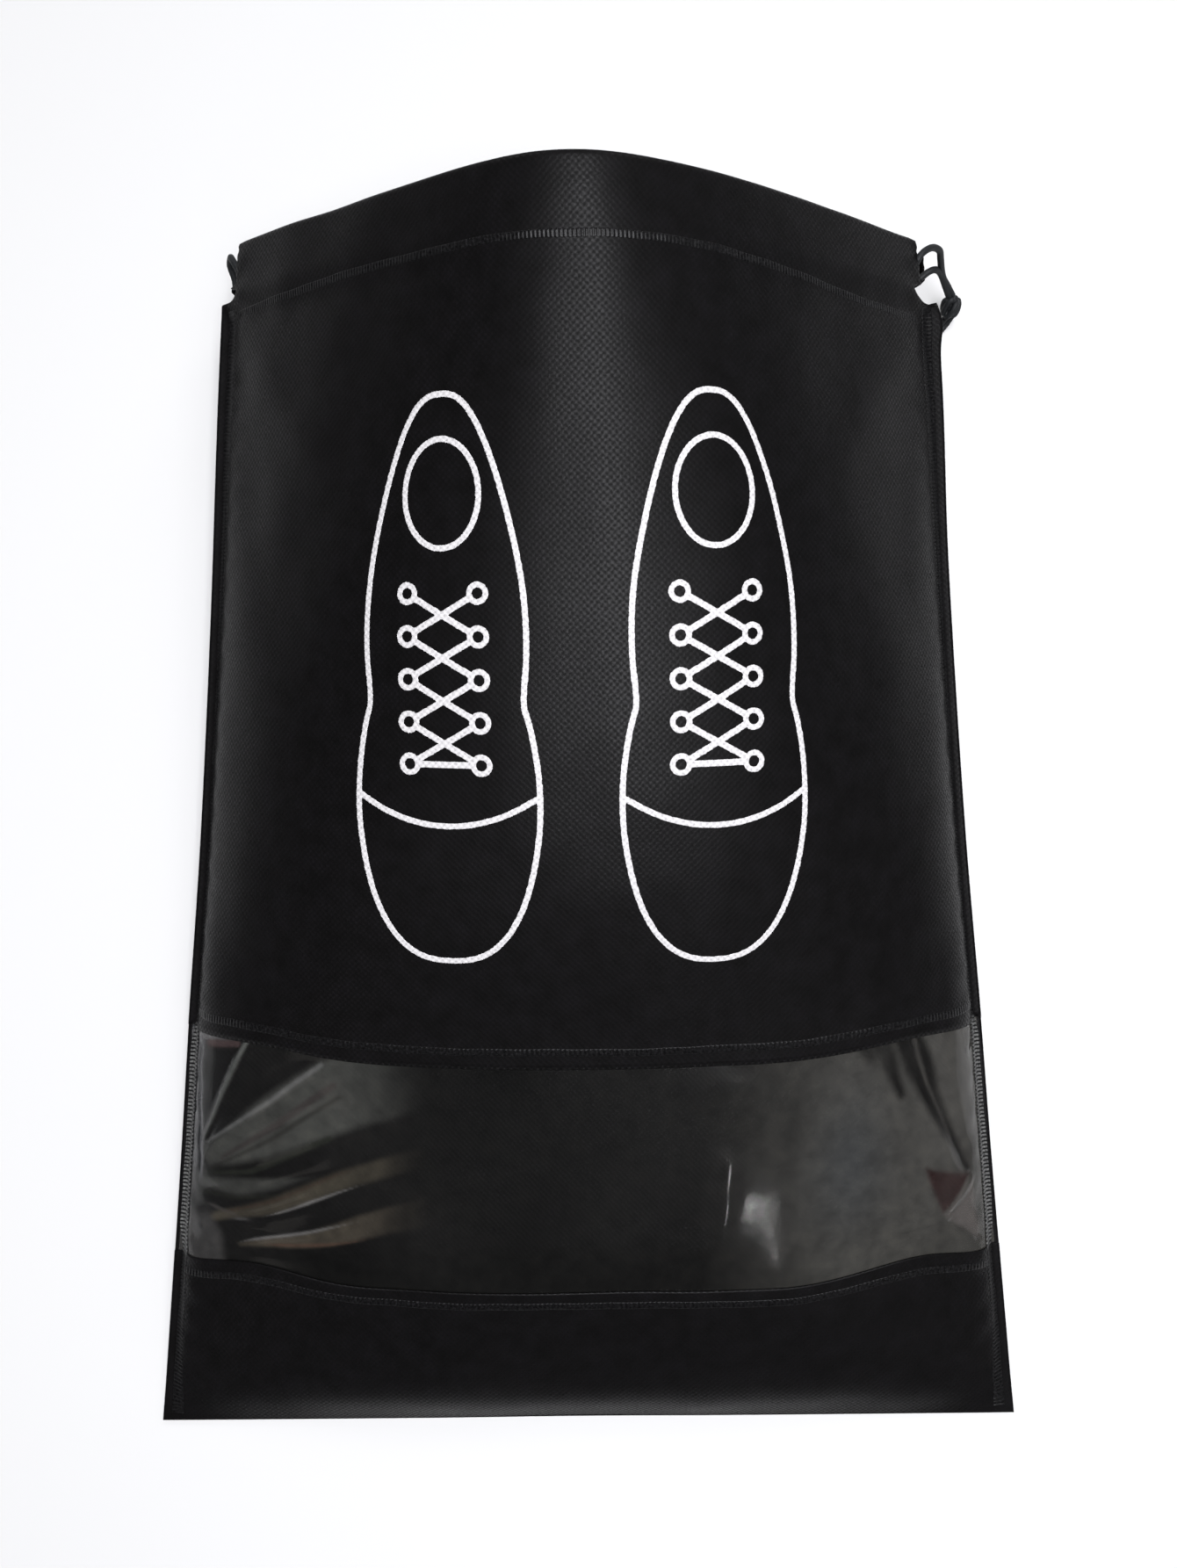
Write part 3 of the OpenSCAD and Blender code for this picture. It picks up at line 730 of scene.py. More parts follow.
def cord_material():
    m, nt, b = nodes_of("cord_braid")
    L = nt.links.new
    uv = N(nt, "ShaderNodeUVMap", uv_map="sheet_mm").outputs[0]
    n1 = N(nt, "ShaderNodeTexNoise", noise_dimensions="2D")
    n1.inputs["Scale"].default_value = 2.5
    n1.inputs["Detail"].default_value = 5
    L(uv, n1.inputs["Vector"])
    L(ramp(nt, n1.outputs[0], [(0.3, (0.003, 0.0035, 0.004)), (0.6, (0.007, 0.008, 0.009)), (0.8, (0.018, 0.021, 0.023))]),
      b.inputs["Base Color"])
    L(mapr(nt, n1.outputs[0], 0.3, 0.7, 0.5, 0.7), b.inputs["Roughness"])
    b.inputs["Specular IOR Level"].default_value = 0.3
    bp = N(nt, "ShaderNodeBump")
    bp.inputs["Strength"].default_value = 0.4
    bp.inputs["Distance"].default_value = 0.00008
    L(n1.outputs[0], bp.inputs["Height"])
    L(bp.outputs[0], b.inputs["Normal"])
    return m


MAT_FRONT = fabric_material("fabric_front")
MAT_BACK = fabric_material("fabric_back", 0.95)
MAT_WELD = weld_material()
MAT_FILM = film_material()
MAT_INK = ink_material()
MAT_CORD = cord_material()


def pull_blend(ob):
    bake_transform(ob)


# ------------------------------------------------------------------ front sheet: panel, fold at the mouth, inner hem
def profile_rows(pts, step):
    p = np.array(pts, float)
    d = np.concatenate([[0], np.cumsum(np.hypot(*np.diff(p, axis=0).T))])
    s = np.arange(0, d[-1], step)
    s = np.append(s, d[-1])
    return np.stack([np.interp(s, d, p[:, 0]), np.interp(s, d, p[:, 1])], 1)


def round_profile(p, sigma, step):
    r = int(4 * sigma / step)
    w = np.exp(-0.5 * (np.arange(-r, r + 1) * step / sigma) ** 2)
    w /= w.sum()
    q = np.vstack([2 * p[0] - p[r:0:-1], p, 2 * p[-1] - p[-2:-r - 2:-1]])
    return np.stack([np.convolve(q[:, k], w, "valid") for k in range(2)], 1)


def hem_profile(depth=3.9):
    """Middle line of the folded hem as (v, n): out to the mouth edge and back inside."""
    p = [(418, 0), (430, 0.0), (438.6, -0.1), (439.6, -0.9), (439.2, -2.2), (436, -3.3),
         (430, -depth), (424, -3.3), (419.5, -1.6), (417.2, -0.60), (414, -0.50), (405.5, -0.50)]
    p = profile_rows(p, 0.35)
    return round_profile(p, 0.7, 0.35)


def fabric_rows(front, vn, cols, shift=None):
    """3-D rows of the sheet's middle line for (v, n) pairs. The turned-in layer is cut narrower."""
    shape = (len(vn), len(cols))
    v = np.broadcast_to(vn[:, 0][:, None], shape)
    n = np.broadcast_to(vn[:, 1][:, None], shape)
    most = 160 - 12.4 * smooth01(-(n + 0.3) / 1.2 + (n < -0.3) * 0.7)
    u = fit_u(np.broadcast_to(cols, shape), v, most, front)
    if shift is not None:
        v = v + shift(v, u)
    return surf(front, v, u, n), u


cols = u_columns()
hem = hem_profile()
v_up = np.concatenate([np.arange(WIN_HI, 412, 2.0), np.arange(412, 417.9, 0.25)])
vn_front = np.vstack([np.stack([v_up, v_up * 0], 1), hem])
g_front, u_front = fabric_rows(True, vn_front, cols, lambda v, u: lift_hi(u) * smooth01((WIN_HI + 24 - v) / 24)
                             + edge_shift(u) * smooth01((v - 330) / 96))
s_front = np.concatenate([[0], np.cumsum(np.hypot(*np.diff(vn_front, axis=0).T))]) + WIN_HI
uv_front = np.stack([u_front, np.broadcast_to(s_front[:, None], u_front.shape)], -1)
front_sheet = new_object("front_upper_sheet", *thick_grid(g_front, FAB, uv_front), mat=MAT_FRONT)
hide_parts("front_upper_panel", "front_channel")

# back sheet: rear hem, back panel, bottom fold, lower band
hem_b = hem_profile(3.6)[::-1]
v_dn = np.concatenate([np.arange(417.75, 412, -0.25), np.arange(412, 3, -2.0), [2, 1, 0.3]])
rows_b, u_b = fabric_rows(False, np.vstack([hem_b, np.stack([v_dn, v_dn * 0], 1)]), cols)
v_band = np.concatenate([[0.3, 1, 2, 3], np.arange(4, WIN_LO - 0.6, 2.0), [WIN_LO - 0.7, WIN_LO]])
rows_f, u_f = fabric_rows(True, np.stack([v_band, v_band * 0], 1), cols,
                        lambda v, u: lift_lo(u) * smooth01((v - WIN_LO + 34) / 34))
last, first = rows_b[-1], rows_f[0]
fold = []
for a in np.linspace(0, 180, 7)[1:-1]:
    k = 0.5 - 0.5 * math.cos(math.radians(a))
    p = last * (1 - k) + first * k
    p[:, 1] -= 0.32 * math.sin(math.radians(a))
    fold.append(p)
g_back = np.concatenate([rows_b, np.array(fold), rows_f])
u_back = np.concatenate([u_b, np.repeat(u_b[-1:], len(fold), 0), u_f])
mid = len(cols) // 2
s_back = np.concatenate([[0], np.cumsum(np.linalg.norm(np.diff(g_back[:, mid], axis=0), axis=1))])
uv_back = np.stack([u_back, np.broadcast_to(s_back[:, None], u_back.shape)], -1)
v_b, f_b, t_b = thick_grid(g_back, FAB, uv_back)
v_b[:, 2] = np.maximum(v_b[:, 2], 0.02)
folded_sheet = new_object("folded_back_sheet", v_b, f_b, t_b, mat=MAT_BACK)
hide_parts("back_panel", "lower_band", "rear_channel")

# ------------------------------------------------------------------ window film
fu = np.arange(-158.5, 158.6, 0.8)
fv = np.arange(56, 163.1, 0.8)
FU, FV = np.meshgrid(fu, fv)
at_seam = smooth01((np.abs(FU) - 149.5) / 4.5)
lap = -0.48 * (1 - at_seam) - 0.17 * at_seam
FVW = FV + lift_hi(FU) * smooth01((FV - 100) / 50) + lift_lo(FU) * smooth01((100 - FV) / 36)
g_film = surf(True, FVW, FU, lap + film_folds(FU, FV) * 0.8)
film = new_object("window_film", *thick_grid(g_film, 0.14, np.stack([FU, FV], -1)), mat=MAT_FILM)
# painted reflections and highlights, stored on the film's points as its colour
tone = film_tone_and_painted_reflections(FU, FV).reshape(-1, 3)
layer = film.data.attributes.new("film_tone_and_painted_reflections", "FLOAT_VECTOR", "POINT")
layer.data.foreach_set("vector", np.concatenate([tone] * 2).astype(np.float32).ravel())
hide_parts("window_film")


# ------------------------------------------------------------------ ladder welds
def ladder(line, across, front_n, width, pitch=1.45, high=0.2, seed=1):
    """Ribbed band of weld bars. line: list of (v, u) along the seam; across: unit step
    (dv, du) across it; front_n: list of (front?, n) faces that it stands on."""
    line = np.array(line, float)
    d = np.concatenate([[0], np.cumsum(np.hypot(*np.diff(line, axis=0).T))])
    step = pitch / 5
    s = np.arange(0, d[-1], step)
    vv, uu = np.interp(s, d, line[:, 0]), np.interp(s, d, line[:, 1])
    x = np.array([-1, -0.88, -0.5, 0, 0.5, 0.88, 1.0])
    lift = np.array([0, 0.8, 1, 1, 1, 0.8, 0])
    r = np.random.default_rng(seed)
    amp = 0.75 + 0.5 * np.interp(s, np.arange(0, d[-1] + pitch, pitch),
                                 r.random(int(d[-1] / pitch) + 2)[:len(np.arange(0, d[-1] + pitch, pitch))])
    wob = 0.12 * np.sin(s / 9.0 + seed) + 0.08 * np.sin(s / 3.1)
    rib = np.clip(0.5 + 0.75 * np.cos(2 * np.pi * s / pitch), 0, 1)
    parts = []
    for front, n0, sgn in front_n:
        V = vv[:, None] + (x * width / 2 + wob[:, None]) * across[0]
        U = uu[:, None] + (x * width / 2 + wob[:, None]) * across[1]
        h = 0.02 + high * rib[:, None] * amp[:, None] * lift[None, :]
        top = surf(front, V, U, sgn * (n0 + h))
        bot = surf(front, V, U, sgn * (n0 - 0.3) + 0 * V)
        uv = np.stack([U, V], -1)
        n = np.cross(np.gradient(top, axis=1), np.gradient(top, axis=0))
        ref = top - bot
        if np.sum(n * ref) < 0:
            top, bot, uv = top[:, ::-1], bot[:, ::-1], uv[:, ::-1]
        parts.append(thick_grid(top, 0.1, uv, both=(top, bot)))
    return join(parts)


def weld_object(name, node, *args, **kw):
    ob = new_object(name, *ladder(*args, **kw), mat=MAT_WELD)
    if node:
        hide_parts(node)
    pull_blend(ob)
    return ob


OUT = FAB / 2
for nm, sg in (("left", -1), ("right", 1)):
    line = [(v, sg * (154.6 + (0.8 * float(spread(v)) if sg > 0 else 0.0)
                      + 1.5 * float(smooth01((v - WIN_LO) / 12) * smooth01((WIN_HI + 4 - v) / 12)))) for v in np.arange(3, 415.2, 1.0)]
    weld_object(nm + "_side_seam", nm + "_side_seam", line, (0, 1), [(True, OUT, 1), (False, OUT, 1)], 4.6,
                high=0.24, seed=3 + sg)
weld_object("window_top_seam", "window_top_seam", [(156.5 + 0.85 * lift_hi(u), u) for u in np.arange(-153, 153.1, 1)], (1, 0),
            [(True, OUT, 1)], 2.7, 1.6, high=0.16, seed=11)
weld_object("window_bottom_seam", "window_bottom_seam", [(58.5 + 0.9 * lift_lo(u), u) for u in np.arange(-153, 153.1, 1)], (1, 0),
            [(True, OUT, 1)], 2.7, 1.6, high=0.16, seed=12)
weld_object("front_hem_seam", "front_hem_seam", [(hem_line(u) - 0.6, u) for u in np.arange(-150.5, 150.6, 1)], (1, 0),
            [(True, OUT, 1)], 2.5, 1.3, high=0.16, seed=13)
weld_object("rear_hem_seam", "rear_hem_seam", [(414.2, u) for u in np.arange(-150.5, 150.6, 1)], (1, 0),
            [(False, OUT, 1)], 2.5, 1.3, high=0.16, seed=14)

# ------------------------------------------------------------------ printed shoes
def spline(pts, closed=False, step=0.5):
    p = np.array(pts, float)
    q = np.vstack([p[-1], p, p[0], p[1]]) if closed else np.vstack([2 * p[0] - p[1], p, 2 * p[-1] - p[-2]])
    out = []
    for k in range(len(p) if closed else len(p) - 1):
        n = max(2, int(np.hypot(*(q[k + 2] - q[k + 1])) / step))
        t = np.linspace(0, 1, n, endpoint=False)
        out.append(catmull(t) @ q[k:k + 4])
    if not closed:
        out.append(p[-1:])
    return np.vstack(out)


def seg_dist(P, line):
    """Distance from points P to a polyline."""
    best = np.full(len(P), 1e9)
    for a, b in zip(line[:-1], line[1:]):
        ab = b - a
        near = (np.abs(P[:, 0] - (a[0] + b[0]) / 2) < 7) & (np.abs(P[:, 1] - (a[1] + b[1]) / 2) < 7)
        if not near.any():
            continue
        Q = P[near]
        t = np.clip(((Q - a) @ ab) / max(ab @ ab, 1e-9), 0, 1)
        d = np.hypot(*(Q - a - t[:, None] * ab).T)
        best[near] = np.minimum(best[near], d)
    return best


def inside_poly(P, line):
    x, y = P[:, 0], P[:, 1]
    res = np.zeros(len(P), bool)
    a, b = line, np.roll(line, -1, 0)
    for (x0, y0), (x1, y1) in zip(a, b):
        if y0 == y1:
            continue
        c = ((y0 > y) != (y1 > y)) & (x < (x1 - x0) * (y - y0) / (y1 - y0) + x0)
        res ^= c
    return res


GH = 0.4
PX, PY = np.meshgrid(np.arange(-46, 47, GH), np.arange(-4, 187, GH))
PP = np.stack([PX.ravel(), PY.ravel()], 1)
PEN = 1.12


class Ink:
    def __init__(self):
        self.f = np.full(len(PP), 9.0)

    def line(self, pts, closed=False, pen=PEN):
        pen = pen * 0.85
        l = spline(pts, closed)
        if closed:
            l = np.vstack([l, l[:1]])
        self.f = np.minimum(self.f, seg_dist(PP, l) - pen)

    def shape(self, pts, pen=PEN, extra=0.0):
        """A closed outline that hides what is behind it."""
        pen = pen * 0.85
        l = spline(pts, True)
        d = seg_dist(PP, np.vstack([l, l[:1]]))
        ins = inside_poly(PP, l)
        sd = np.where(ins, -d, d)
        self.f = np.where(sd < pen + extra, np.maximum(self.f, pen + extra - sd), self.f)
        self.f = np.minimum(self.f, d - pen)


def oval(cx, cy, a, b, tilt=0.0, power=1.0, n=28):
    t = np.linspace(0, 2 * np.pi, n, endpoint=False)
    x = a * np.cos(t)
    y = b * np.sign(np.sin(t)) * np.abs(np.sin(t)) ** power
    c, s = math.cos(tilt), math.sin(tilt)
    return [(cx + x_ * c - y_ * s, cy + x_ * s + y_ * c) for x_, y_ in zip(x, y)]


def shoe_half(y):
    """Half width of part.scad's printed outline, y from the toe."""
    c = np.clip((np.asarray(y, float) - 91) / 91, -1, 1)
    w = 37.5 * (0.81 - 0.19 * c) - 5 * np.maximum(0, 1 - np.abs(c + 0.05) / 0.5) ** 2
    return w * np.sqrt(1 - c * c) ** 0.8


def draw_shoe():
    """A plain lace-up shoe from above, made by rule: part.scad's outline, one toe-cap
    arc, one round opening and evenly spaced crossed laces."""
    ink = Ink()
    a = np.linspace(0, 2 * np.pi, 96, endpoint=False)
    y = 91 + 91 * np.cos(a)
    ink.line(np.stack([np.sign(np.sin(a)) * shoe_half(y), y], 1), True)
    e = float(shoe_half(56))
    ink.line([(e * t, 46 + 10 * t * t) for t in np.linspace(-1, 1, 9)])
    ink.line(oval(0, 151, 13.0, 17.0), True)
    rows = np.linspace(66, 120, 5)
    for y0, y1 in zip(rows[:-1], rows[1:]):
        ink.line([(-12, y0), (12, y1)], pen=1.2)
        ink.line([(12, y0), (-12, y1)], pen=1.2)
    ink.line([(-12, rows[0]), (12, rows[0])], pen=1.2)
    for y0 in rows:
        for x0 in (-12, 12):
            ink.shape(oval(x0, y0, 2.7, 2.7), 1.05)
    # ink spreads a little unevenly over the web
    k = 2 * np.pi / 1.45 * 0.7071
    x, y = PP[:, 0], PP[:, 1]
    rough = 0.10 * np.sin(k * (x + y)) * np.sin(k * (x - y)) + 0.07 * waves(x, y, 8, 1.6, 5, 77)
    return (ink.f + rough).reshape(PX.shape)


def contour_mesh(f, xs, ys):
    """Closed outline-true mesh of f < 0: vertices as (x, y), faces and boundary edges."""
    r, c = f.shape
    verts, faces, key = [], [], {}

    def corner(i, j):
        k = ("c", i, j)
        if k not in key:
            key[k] = len(verts)
            verts.append((xs[j], ys[i]))
        return key[k]

    def cut(i, j, i2, j2):
        k = ("e", i, j, i2, j2) if (i, j) < (i2, j2) else ("e", i2, j2, i, j)
        if k not in key:
            a, b = f[i, j], f[i2, j2]
            t = min(0.96, max(0.04, a / (a - b)))
            key[k] = len(verts)
            verts.append((xs[j] + (xs[j2] - xs[j]) * t, ys[i] + (ys[i2] - ys[i]) * t))
        return key[k]

    s = f < 0
    any4 = s[:-1, :-1] | s[1:, :-1] | s[:-1, 1:] | s[1:, 1:]
    for i, j in zip(*np.nonzero(any4)):
        cs = [(i, j), (i, j + 1), (i + 1, j + 1), (i + 1, j)]
        ins = [bool(s[a]) for a in cs]
        if ins == [True, False, True, False] or ins == [False, True, False, True]:
            for k in range(4):
                if ins[k]:
                    p, n = cs[k - 1], cs[(k + 1) % 4]
                    faces.append([corner(*cs[k]), cut(*cs[k], *n), cut(*p, *cs[k])])
            continue
        poly = []
        for k in range(4):
            a, b = cs[k], cs[(k + 1) % 4]
            if ins[k]:
                poly.append(corner(*a))
            if ins[k] != ins[(k + 1) % 4]:
                poly.append(cut(*a, *b))
        faces.append(poly)
    edges = {}
    for p in faces:
        for a, b in zip(p, p[1:] + p[:1]):
            if (b, a) in edges:
                del edges[(b, a)]
            else:
                edges[(a, b)] = 1
    return np.array(verts), faces, list(edges)


SHOE = draw_shoe()
c_v, c_f, c_e = contour_mesh(SHOE, PX[0], PY[:, 0])


def print_object(name, node, u0, v0, mirror):
    sgn = -1.0 if mirror else 1.0
    U, V = u0 + sgn * c_v[:, 0], v0 + c_v[:, 1]
    top = surf(True, V, U, np.full(len(U), OUT + 0.09))
    bot = surf(True, V, U, np.full(len(U), OUT - 0.14))
    m = len(U)
    o = (lambda f: f) if not mirror else (lambda f: f[::-1])
    faces = [o(list(f)) for f in c_f] + [o([k + m for k in f[::-1]]) for f in c_f]
    faces += [o([b, a, a + m, b + m]) for a, b in c_e]
    uv = np.stack([U, V], 1)
    ob = new_object(name, np.concatenate([top, bot]), faces, np.concatenate([uv, uv]), MAT_INK)
    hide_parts(node)
    pull_blend(ob)
    return ob


print_l = print_object("print_left_shoe", "print_left_shoe", -43.5, 190, False)
print_r = print_object("print_right_shoe", "print_right_shoe", 43.5, 190, True)


# ------------------------------------------------------------------ cord
def through(pts, step):
    """Smooth evenly spaced line through points in space."""
    p = np.array(pts, float)
    q = np.vstack([2 * p[0] - p[1], p, 2 * p[-1] - p[-2]])
    out = []
    for k in range(len(p) - 1):
        n = max(3, int(np.linalg.norm(p[k + 1] - p[k]) / 0.1))
        out.append(catmull(np.linspace(0, 1, n, endpoint=False)) @ q[k:k + 4])
    line = np.vstack(out + [p[-1:]])
    d = np.concatenate([[0], np.cumsum(np.linalg.norm(np.diff(line, axis=0), axis=1))])
    n = max(2, int(round(d[-1] / step)))
    s = np.linspace(0, d[-1], n + 1)
    return np.stack([np.interp(s, d, line[:, k]) for k in range(3)], 1), d[-1]


def tube(line, radius, sides, closed=False, braid=0.0, pitch=3.2, taper=0.0):
    n = len(line)
    tan = np.gradient(line, axis=0) if not closed else np.roll(line, -1, 0) - np.roll(line, 1, 0)
    tan /= np.linalg.norm(tan, axis=1, keepdims=True)
    ref = np.array([0.0, 0, 1]) if abs(tan[0][2]) < 0.9 else np.array([1.0, 0, 0])
    nrm = np.empty_like(line)
    v = ref - tan[0] * (ref @ tan[0])
    nrm[0] = v / np.linalg.norm(v)
    for k in range(1, n):
        v = nrm[k - 1] - tan[k] * (nrm[k - 1] @ tan[k])
        nrm[k] = v / np.linalg.norm(v)
    ang = np.linspace(0, 2 * np.pi, sides, endpoint=False)
    s = np.concatenate([[0], np.cumsum(np.linalg.norm(np.diff(line, axis=0), axis=1))])
    if closed:
        v = nrm[-1] - tan[0] * (nrm[-1] @ tan[0])
        v /= np.linalg.norm(v)
        twist = math.atan2(np.cross(v, nrm[0]) @ tan[0], v @ nrm[0])
        rot = twist * s / s[-1]
    else:
        rot = 0 * s
    bi = np.cross(tan, nrm)
    A = ang[None, :] + rot[:, None]
    R = np.full(A.shape, radius)
    if braid:
        k = 2 * np.pi / pitch
        a = 3 * ang[None, :] + k * s[:, None]
        b = 3 * ang[None, :] - k * s[:, None]
        R = R * (1 - braid + braid * np.maximum(np.abs(np.sin(a / 1)), np.abs(np.sin(b / 1))) * 1.2)
    if taper:
        end = np.minimum(s, s[-1] - s)
        R = R * np.sqrt(np.clip(1 - (1 - end / taper).clip(0, 1) ** 2, 0.04, 1))[:, None]
    P = line[:, None, :] + R[..., None] * (np.cos(A)[..., None] * nrm[:, None, :] + np.sin(A)[..., None] * bi[:, None, :])
    verts = P.reshape(-1, 3)
    uv = np.stack([np.broadcast_to(ang * radius, A.shape), np.broadcast_to(s[:, None], A.shape)], -1).reshape(-1, 2)
    faces = []
    for i in range(n if closed else n - 1):
        i2 = (i + 1) % n
        for j in range(sides):
            j2 = (j + 1) % sides
            faces.append([i * sides + j, i * sides + j2, i2 * sides + j2, i2 * sides + j])
    if not closed:
        m = len(verts)
        verts = np.vstack([verts, line[0], line[-1]])
        uv = np.vstack([uv, [0, 0], [0, s[-1]]])
        for j in range(sides):
            j2 = (j + 1) % sides
            faces.append([m, j2, j])
            faces.append([m + 1, (n - 1) * sides + j, (n - 1) * sides + j2])
    return verts, faces, uv


def cad_point(side, v, t, n):
    """Point on part.scad's own surface, n mm off it."""
    def f(vv, tt):
        W, S, H, YS, YC = (float(at(vv, k)) for k in range(1, 6))
        hw = W - SW - 0.3
        if side > 0:
            r = float(rise(vv, np.array([abs(tt)]))[0])
            return np.array([hw * tt, YS + (YC - YS) * r - YMID, S + 0.3 + (H - S - 0.3) * r])
        a = math.radians(90 * tt)
        c, s = math.cos(a) ** (1 / 3), math.copysign(abs(math.sin(a)) ** (1 / 3), tt)
        return np.array([hw * s, YS + (vv - YS) * c - YMID, S - 0.3 - (S - 0.6) * c])
    p = f(v, t)
    e = 0.01
    d1 = f(v, t + e if t < 0.97 and t > -0.97 else t - math.copysign(e, t)) - p
    if not -0.97 < t < 0.97:
        d1 = d1 * -math.copysign(1, t)
    d2 = f(v + 1, t) - p
    nn = np.cross(d1, d2)
    nn /= np.linalg.norm(nn)
    if (nn[2] if side > 0 else -nn[2]) < 0:
        nn = -nn
    return p + nn * n


CORD_R = 1.25
us = np.linspace(-149, 149, 150)
run_f = surf(True, np.full(len(us), CORD_V), us, np.full(len(us), CORD_N))
run_r = surf(False, np.full(len(us), CORD_V), us, np.full(len(us), CORD_N))
ends = {
    "fr": surf(True, np.array([CORD_V]), np.array([151.5]), np.array([CORD_N]))[0],
    "fl": surf(True, np.array([CORD_V]), np.array([-151.5]), np.array([CORD_N]))[0],
    "rr": surf(False, np.array([CORD_V]), np.array([151.5]), np.array([CORD_N]))[0],
    "rl": surf(False, np.array([CORD_V]), np.array([-151.5]), np.array([CORD_N]))[0],
}
print("ENDS", {k: [round(float(x), 2) for x in v] for k, v in ends.items()},
      [round(float(x), 2) for x in cad_point(1, CORD_V, 0.972, CORD_N)],
      [round(float(x), 2) for x in cad_point(-1, CORD_V, 0.972, CORD_N)])


def cord_object(name, nodes, line, sides=14, braid=0.0, radius=CORD_R, **kw):
    ob = new_object(name, *tube(line, radius, sides, braid=braid, **kw), mat=MAT_CORD)
    if nodes:
        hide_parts(*nodes)
    return ob


front_run, _ = through(np.vstack([ends["fl"][None], run_f, ends["fr"][None]]), 2.0)
rear_run, _ = through(np.vstack([ends["rl"][None], run_r, ends["rr"][None]]), 2.0)
run1 = cord_object("drawstring_front_run", ["drawstring_front_run"], front_run, 12)
run2 = cord_object("drawstring_rear_run", ["drawstring_rear_run"], rear_run, 12)
fl, rl = ends["fl"], ends["rl"]
bight_pts = [fl, fl + (-1.7, 2.7, 0.4), fl + (-3.6, 6.0, -0.9), fl + (-5.0, 8.0, -4.2), rl + (-1.0, 5.2, 4.6), rl + (-0.4, 2.2, 1.6), rl]
bight_line, bight_len = through(bight_pts, 0.3)
bight = cord_object("drawstring_left_bight", ["drawstring_left_bight"], bight_line, 24, 0.10)
for ob in (run1, run2, bight):
    pull_blend(ob)

KNOT = np.array([145.9, 203.4, 9.8])
fr, rr = ends["fr"], ends["rr"]
route_f = [fr, (126.1, 209, 40.4), (130.4, 212.4, 38.4), (134.4, 213.4, 34.6), (136.1, 212.4, 30.4), (137.6, 210.9, 26.2),
           (139.6, 209.6, 21.6), (142.8, 208.2, 17), (145.6, 206.5, 13.3)]
route_r = [rr, (131.72, 208.2, 28.1), (134.4, 209.55, 27.7), (136.85, 210.03, 25.5), (139.0, 209.65, 22.2), (141.03, 208.58, 18.6),
           (143.1, 207.0, 15.2), (145.1, 205.1, 11.9), (146.1, 202.9, 8.3)]
line_f, len_f = through(route_f, 0.3)
line_r, len_r = through(route_r, 0.3)
print("STRANDS", round(len_f, 2), round(len_r, 2), "bight", round(bight_len, 2))
strand_f = cord_object("drawstring_front_strand", ["drawstring_front_strand"], line_f, 24, 0.10)
strand_r = cord_object("drawstring_rear_strand", ["drawstring_rear_strand"], line_r, 24, 0.10)
for ob, a in ((strand_f, fr), (strand_r, rr)):
    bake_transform(ob)

# overhand knot tied in both strands together
t = np.linspace(0, 2 * np.pi, 150, endpoint=False)
axis_z = np.array([0.0, 0.616, 0.788])
axis_x = np.array([1.0, 0, 0])
axis_y = np.cross(axis_z, axis_x)
loops = []
for turn, grow, slide in ((0.0, 1.0, 0.0), (math.radians(62), 0.92, 0.7)):
    x = np.sin(t) + 2 * np.sin(2 * t)
    y = np.cos(t) - 2 * np.cos(2 * t)
    z = -np.sin(3 * t)
    c, s_ = math.cos(turn), math.sin(turn)
    px, py = (x * c - y * s_) * 1.02 * grow, (x * s_ + y * c) * 0.86 * grow
    pz = z * 2.7 + slide + 0.6 * np.sin(t + 1)
    loops.append(KNOT + px[:, None] * axis_x + pz[:, None] * axis_z * 1.0 + py[:, None] * axis_y)
knot_parts = [tube(l, 1.12, 16, closed=True, braid=0.10) for l in loops]
knot = new_object("drawstring_knot", *join([(v, f, u) for v, f, u in knot_parts]), mat=MAT_CORD)
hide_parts("drawstring_knot")
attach(knot, BODY_B)

tail_a, _ = through([(145.4, 201.6, 7), (143.6, 199.4, 4.2), (141.0, 197, 2.3), (138.2, 193.6, 1.5), (135.8, 188.6, 1.35),
                     (134.4, 182.4, 1.35)], 0.35)
tail_b, _ = through([(147.4, 201.6, 6.2), (145.6, 199.2, 3.2), (142.8, 196.2, 1.7), (139.6, 192.0, 1.35),
                     (137.4, 186.2, 1.35)], 0.35)
tails = new_object("drawstring_tails", *join([tube(tail_a, 1.2, 20, braid=0.10), tube(tail_b, 1.2, 20, braid=0.10)]),
                   mat=MAT_CORD)
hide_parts("drawstring_tails")
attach(tails, BODY_B)

for ob in (front_sheet, folded_sheet, film):
    pull_blend(ob)

# ------------------------------------------------------------------ floor, light
fm, fnt, fb = nodes_of("floor")
fb.inputs["Base Color"].default_value = (0.61, 0.608, 0.60, 1)
fb.inputs["Roughness"].default_value = 0.8
bpy.ops.mesh.primitive_plane_add(size=24, location=(0, 0, -0.0004))
floor = bpy.context.object
floor.name = "floor"
floor.data.materials.append(fm)

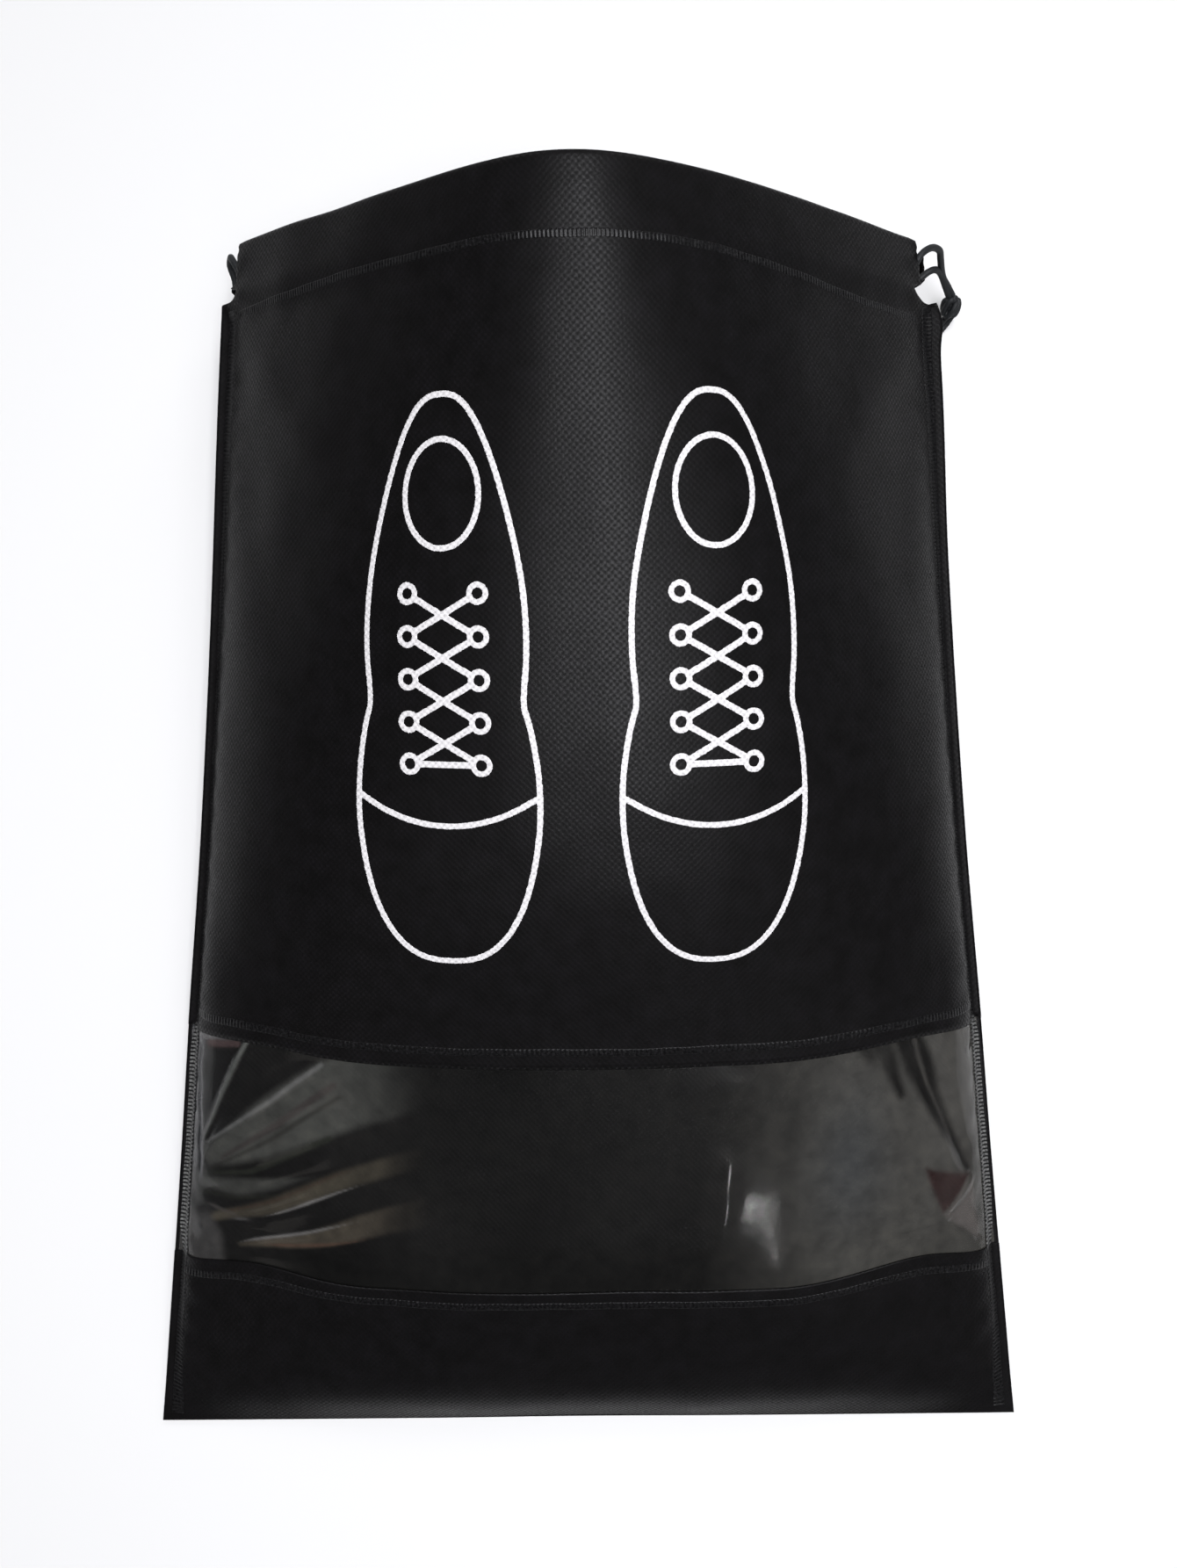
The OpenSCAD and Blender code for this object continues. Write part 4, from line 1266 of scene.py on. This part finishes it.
world = bpy.data.worlds.new("studio")
scene.world = world
world.use_nodes = True
wt = world.node_tree
geo = N(wt, "ShaderNodeTexCoord")
wsep = N(wt, "ShaderNodeSeparateXYZ")
wt.links.new(geo.outputs["Generated"], wsep.inputs[0])
wt.links.new(ramp(wt, wsep.outputs[2], [(0.0, (0.28, 0.284, 0.295)), (0.05, (0.20, 0.203, 0.212)), (0.16, (0.07, 0.072, 0.08)),
                                        (1.0, (0.08, 0.082, 0.09))]), wt.nodes["Background"].inputs[0])
wt.nodes["Background"].inputs[1].default_value = 1.0


def area(name, loc, target, size, power, color=(1, 1, 1)):
    d = bpy.data.lights.new(name, "AREA")
    d.energy, d.color = power, color
    d.shape = "RECTANGLE"
    d.size, d.size_y = size
    o = bpy.data.objects.new(name, d)
    scene.collection.objects.link(o)
    z = (np.array(loc, float) - np.array(target, float))
    z /= np.linalg.norm(z)
    x = np.cross([0, 1, 0.001], z)
    x /= np.linalg.norm(x)
    y = np.cross(z, x)
    o.matrix_world = Matrix(((x[0], y[0], z[0], loc[0]), (x[1], y[1], z[1], loc[1]), (x[2], y[2], z[2], loc[2]), (0, 0, 0, 1)))
    return o


area("crown_strip", (0.17, -0.04, 1.35), (0.0, 0.02, 0.08), (0.50, 1.15), 27.0, (0.95, 0.955, 1.0))
area("overhead_soft", (0.30, 0.0, 1.75), (0.0, 0.0, 0.05), (1.9, 1.3), 11.0)
area("side_window", (1.6, 0.55, 0.5), (0.1, 0.05, 0.03), (0.5, 1.0), 0.5, (0.84, 0.91, 1.0))
area("back_fill_l", (-1.1, 1.9, 1.2), (0, 0.1, 0), (1.0, 0.8), 9.0)
area("back_fill_r", (1.1, 1.9, 1.2), (0, 0.1, 0), (1.0, 0.8), 9.0)
area("left_card", (-1.07, -1.07, 0.98), (-0.1, -0.12, 0.03), (0.42, 0.55), 0.3, (1.0, 0.94, 0.86))
area("right_card", (1.23, -1.03, 0.82), (0.1, -0.12, 0.03), (1.6, 1.1), 0.7, (1.0, 0.97, 0.92))
area("spot", (0.453, -1.30, 1.16), (0.05, -0.11, 0.04), (0.022, 0.16), 0.45)
